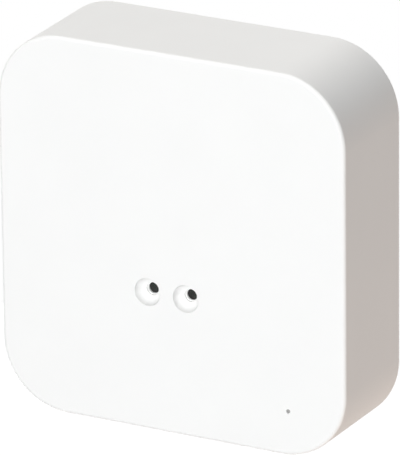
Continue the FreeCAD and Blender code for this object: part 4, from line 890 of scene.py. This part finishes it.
# arrows in the bracket's shallow pad recesses show which way the detector slides on
arrow = {
    "outline": [(0, -2.0), (1.7, 0.1), (0.6, 0.1), (0.6, 2.0), (-0.6, 2.0), (-0.6, 0.1),
                (-1.7, 0.1)],
    "height": 0.16, "chamfer": 0.05, "recess": 0.3, "gap": 16.0,
}
addRows("slide_arrows",
        plate("slide_arrow", arrow["outline"], arrow["height"], arrow["chamfer"]),
        (2, 0.0, arrow["gap"]), once,
        (0.0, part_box("wall_bracket")[1].y - arrow["recess"] * mm, arrow["gap"] / 2 * mm),
        towardWall, bracketAbs, "white_bracket", "bracket")

# plus and minus beyond the ends of each cell, so that it goes in the right way round
signs = {
    "plus": [(0.35, 0.35), (0.35, 1.4), (-0.35, 1.4), (-0.35, 0.35), (-1.4, 0.35), (-1.4, -0.35),
             (-0.35, -0.35), (-0.35, -1.4), (0.35, -1.4), (0.35, -0.35), (1.4, -0.35), (1.4, 0.35)],
    "minus": [(1.4, -0.35), (1.4, 0.35), (-1.4, 0.35), (-1.4, -0.35)],
    "height": 0.16, "chamfer": 0.05, "fromWall": 2.5, "fromMiddle": 32.0,
}
for side, plusEnd in (("left", 1), ("right", -1)):
    for sign, end in (("plus", plusEnd), ("minus", -plusEnd)):
        mark = plate(f"{sign}_{side}", signs[sign], signs["height"], signs["chamfer"])
        spot = (middleOf(f"cell_{side}").x, -signs["fromWall"] * mm, end * signs["fromMiddle"] * mm)
        addPiece(f"{sign}_{side}", standAt(mark, spot, (0, 1, 0)), chassisAbs,
                 "detector", "white_chassis")
print("stage: moulded marks added")


# Camera, floor and light

viewpoint = {
    "azimuth": 28.182, "elevation": 20.573, "roll": -0.608,  # degrees
    "place": (0.64842, -1.22192, 0.51497), "lens": 563.80, "near": 0.05, "far": 20,
}


def addCamera(view):
    azimuth, elevation, roll = (math.radians(view[k]) for k in ("azimuth", "elevation", "roll"))
    back = Vector((math.sin(azimuth) * math.cos(elevation),
                   -math.cos(azimuth) * math.cos(elevation), math.sin(elevation)))
    right = (-back).cross(Vector((0, 0, 1))).normalized()
    up = back.cross(right)
    turnedRight = math.cos(roll) * right + math.sin(roll) * up
    turnedUp = math.cos(roll) * up - math.sin(roll) * right
    lens = bpy.data.cameras.new("viewpoint")
    lens.lens, lens.clip_start, lens.clip_end = view["lens"], view["near"], view["far"]
    camera = addObject("viewpoint", lens)
    axes = Matrix((turnedRight, turnedUp, back)).transposed().to_4x4()
    camera.matrix_world = Matrix.Translation(view["place"]) @ axes
    bpy.context.scene.camera = camera


addCamera(viewpoint)

# the floor lies so far down that no view meets it from below, and its level is the glow that
# stands in for what a near one would bounce
studio = {
    "floorHeight": -3.6, "floorSize": 16.0, "floorColour": "#C8C6C4", "floorRoughness": 0.9,
    "floorLevel": 0.38, "roomLevel": 0.1,
}
# level is what a lamp adds to a white surface that faces it
lamps = {
    "keySoftbox": {"from": (0.286, -0.935, 0.15), "distance": 2.6, "size": 1.04,
                   "level": 0.73, "colour": "#FDFEFF"},
    "frontFill": {"from": (-0.35, -0.75, 0.57), "distance": 2.4, "size": 1.5,
                  "level": 0.19, "colour": "#FFFFFF"},
    "topSoftbox": {"from": (-0.25, 0.14, 1), "distance": 1.3, "size": 0.9,
                   "level": 0.415, "colour": "#FFFDFA"},
    "rearSoftbox": {"from": (-0.2, 1, 0.1), "distance": 1.4, "size": 0.8,
                    "level": 0.5, "colour": "#FFFFFF"},
    "warmFill": {"from": (0.8, 0.2, -0.85), "distance": 0.5, "size": 0.25,
                 "level": 0.175, "colour": "#FFCFA9"},
}


# white for what the camera sees straight, in a reflection or through something clear, and a
# lower level for the light that falls on the object
def glowStrength(tree, level):
    rays = addNode(tree, "ShaderNodeLightPath")
    first = addNode(tree, "ShaderNodeMath", {"operation": "MAXIMUM"}, {
        0: rays.outputs["Is Camera Ray"], 1: rays.outputs["Is Glossy Ray"]})
    seen = addNode(tree, "ShaderNodeMath", {"operation": "MAXIMUM"}, {
        0: first, 1: rays.outputs["Is Transmission Ray"]})
    return addNode(tree, "ShaderNodeMapRange", None, {
        "Value": seen, "To Min": level, "To Max": 1}).outputs["Result"]


def addFloor():
    half, height = studio["floorSize"] / 2, studio["floorHeight"]
    mesh = bpy.data.meshes.new("floor")
    mesh.from_pydata([(-half, -half, height), (half, -half, height),
                      (half, half, height), (-half, half, height)], [], [(0, 1, 2, 3)])
    paper, tree, surface = newMaterial("paper_backdrop_uncoated")
    surface.inputs["Base Color"].default_value = linearColour(studio["floorColour"])
    surface.inputs["Roughness"].default_value = studio["floorRoughness"]
    surface.inputs["Specular IOR Level"].default_value = 0
    surface.inputs["Emission Color"].default_value = (1, 1, 1, 1)
    tree.links.new(glowStrength(tree, studio["floorLevel"]), surface.inputs["Emission Strength"])
    mesh.materials.append(paper)
    floor = addObject("floor", mesh)


# a dim room, white wherever the camera looks
def lightWorld():
    world = bpy.data.worlds.new("studio")
    bpy.context.scene.world = world
    world.use_nodes = True
    tree = world.node_tree
    background = tree.nodes["Background"]
    background.inputs["Color"].default_value = (1, 1, 1, 1)
    tree.links.new(glowStrength(tree, studio["roomLevel"]), background.inputs["Strength"])


# a round soft light aimed at the case
def addLight(name, look):
    lamp = bpy.data.lights.new(name, "AREA")
    lamp.shape = "DISK"
    lamp.size = look["size"]
    lamp.color = linearColour(look["colour"])[:3]
    reach = look["distance"] ** 2 + look["size"] ** 2 / 4
    lamp.energy = look["level"] * math.pi ** 2 * reach
    light = addObject(name, lamp)
    away = Vector(look["from"]).normalized()
    light.location = away * look["distance"]
    light.rotation_mode = "QUATERNION"
    light.rotation_quaternion = away.to_track_quat("Z", "Y")


addFloor()
lightWorld()
for name, look in lamps.items():
    addLight(name, look)
print("stage: camera, floor and lights ready")

bpy.context.scene.view_settings.view_transform = "Standard"
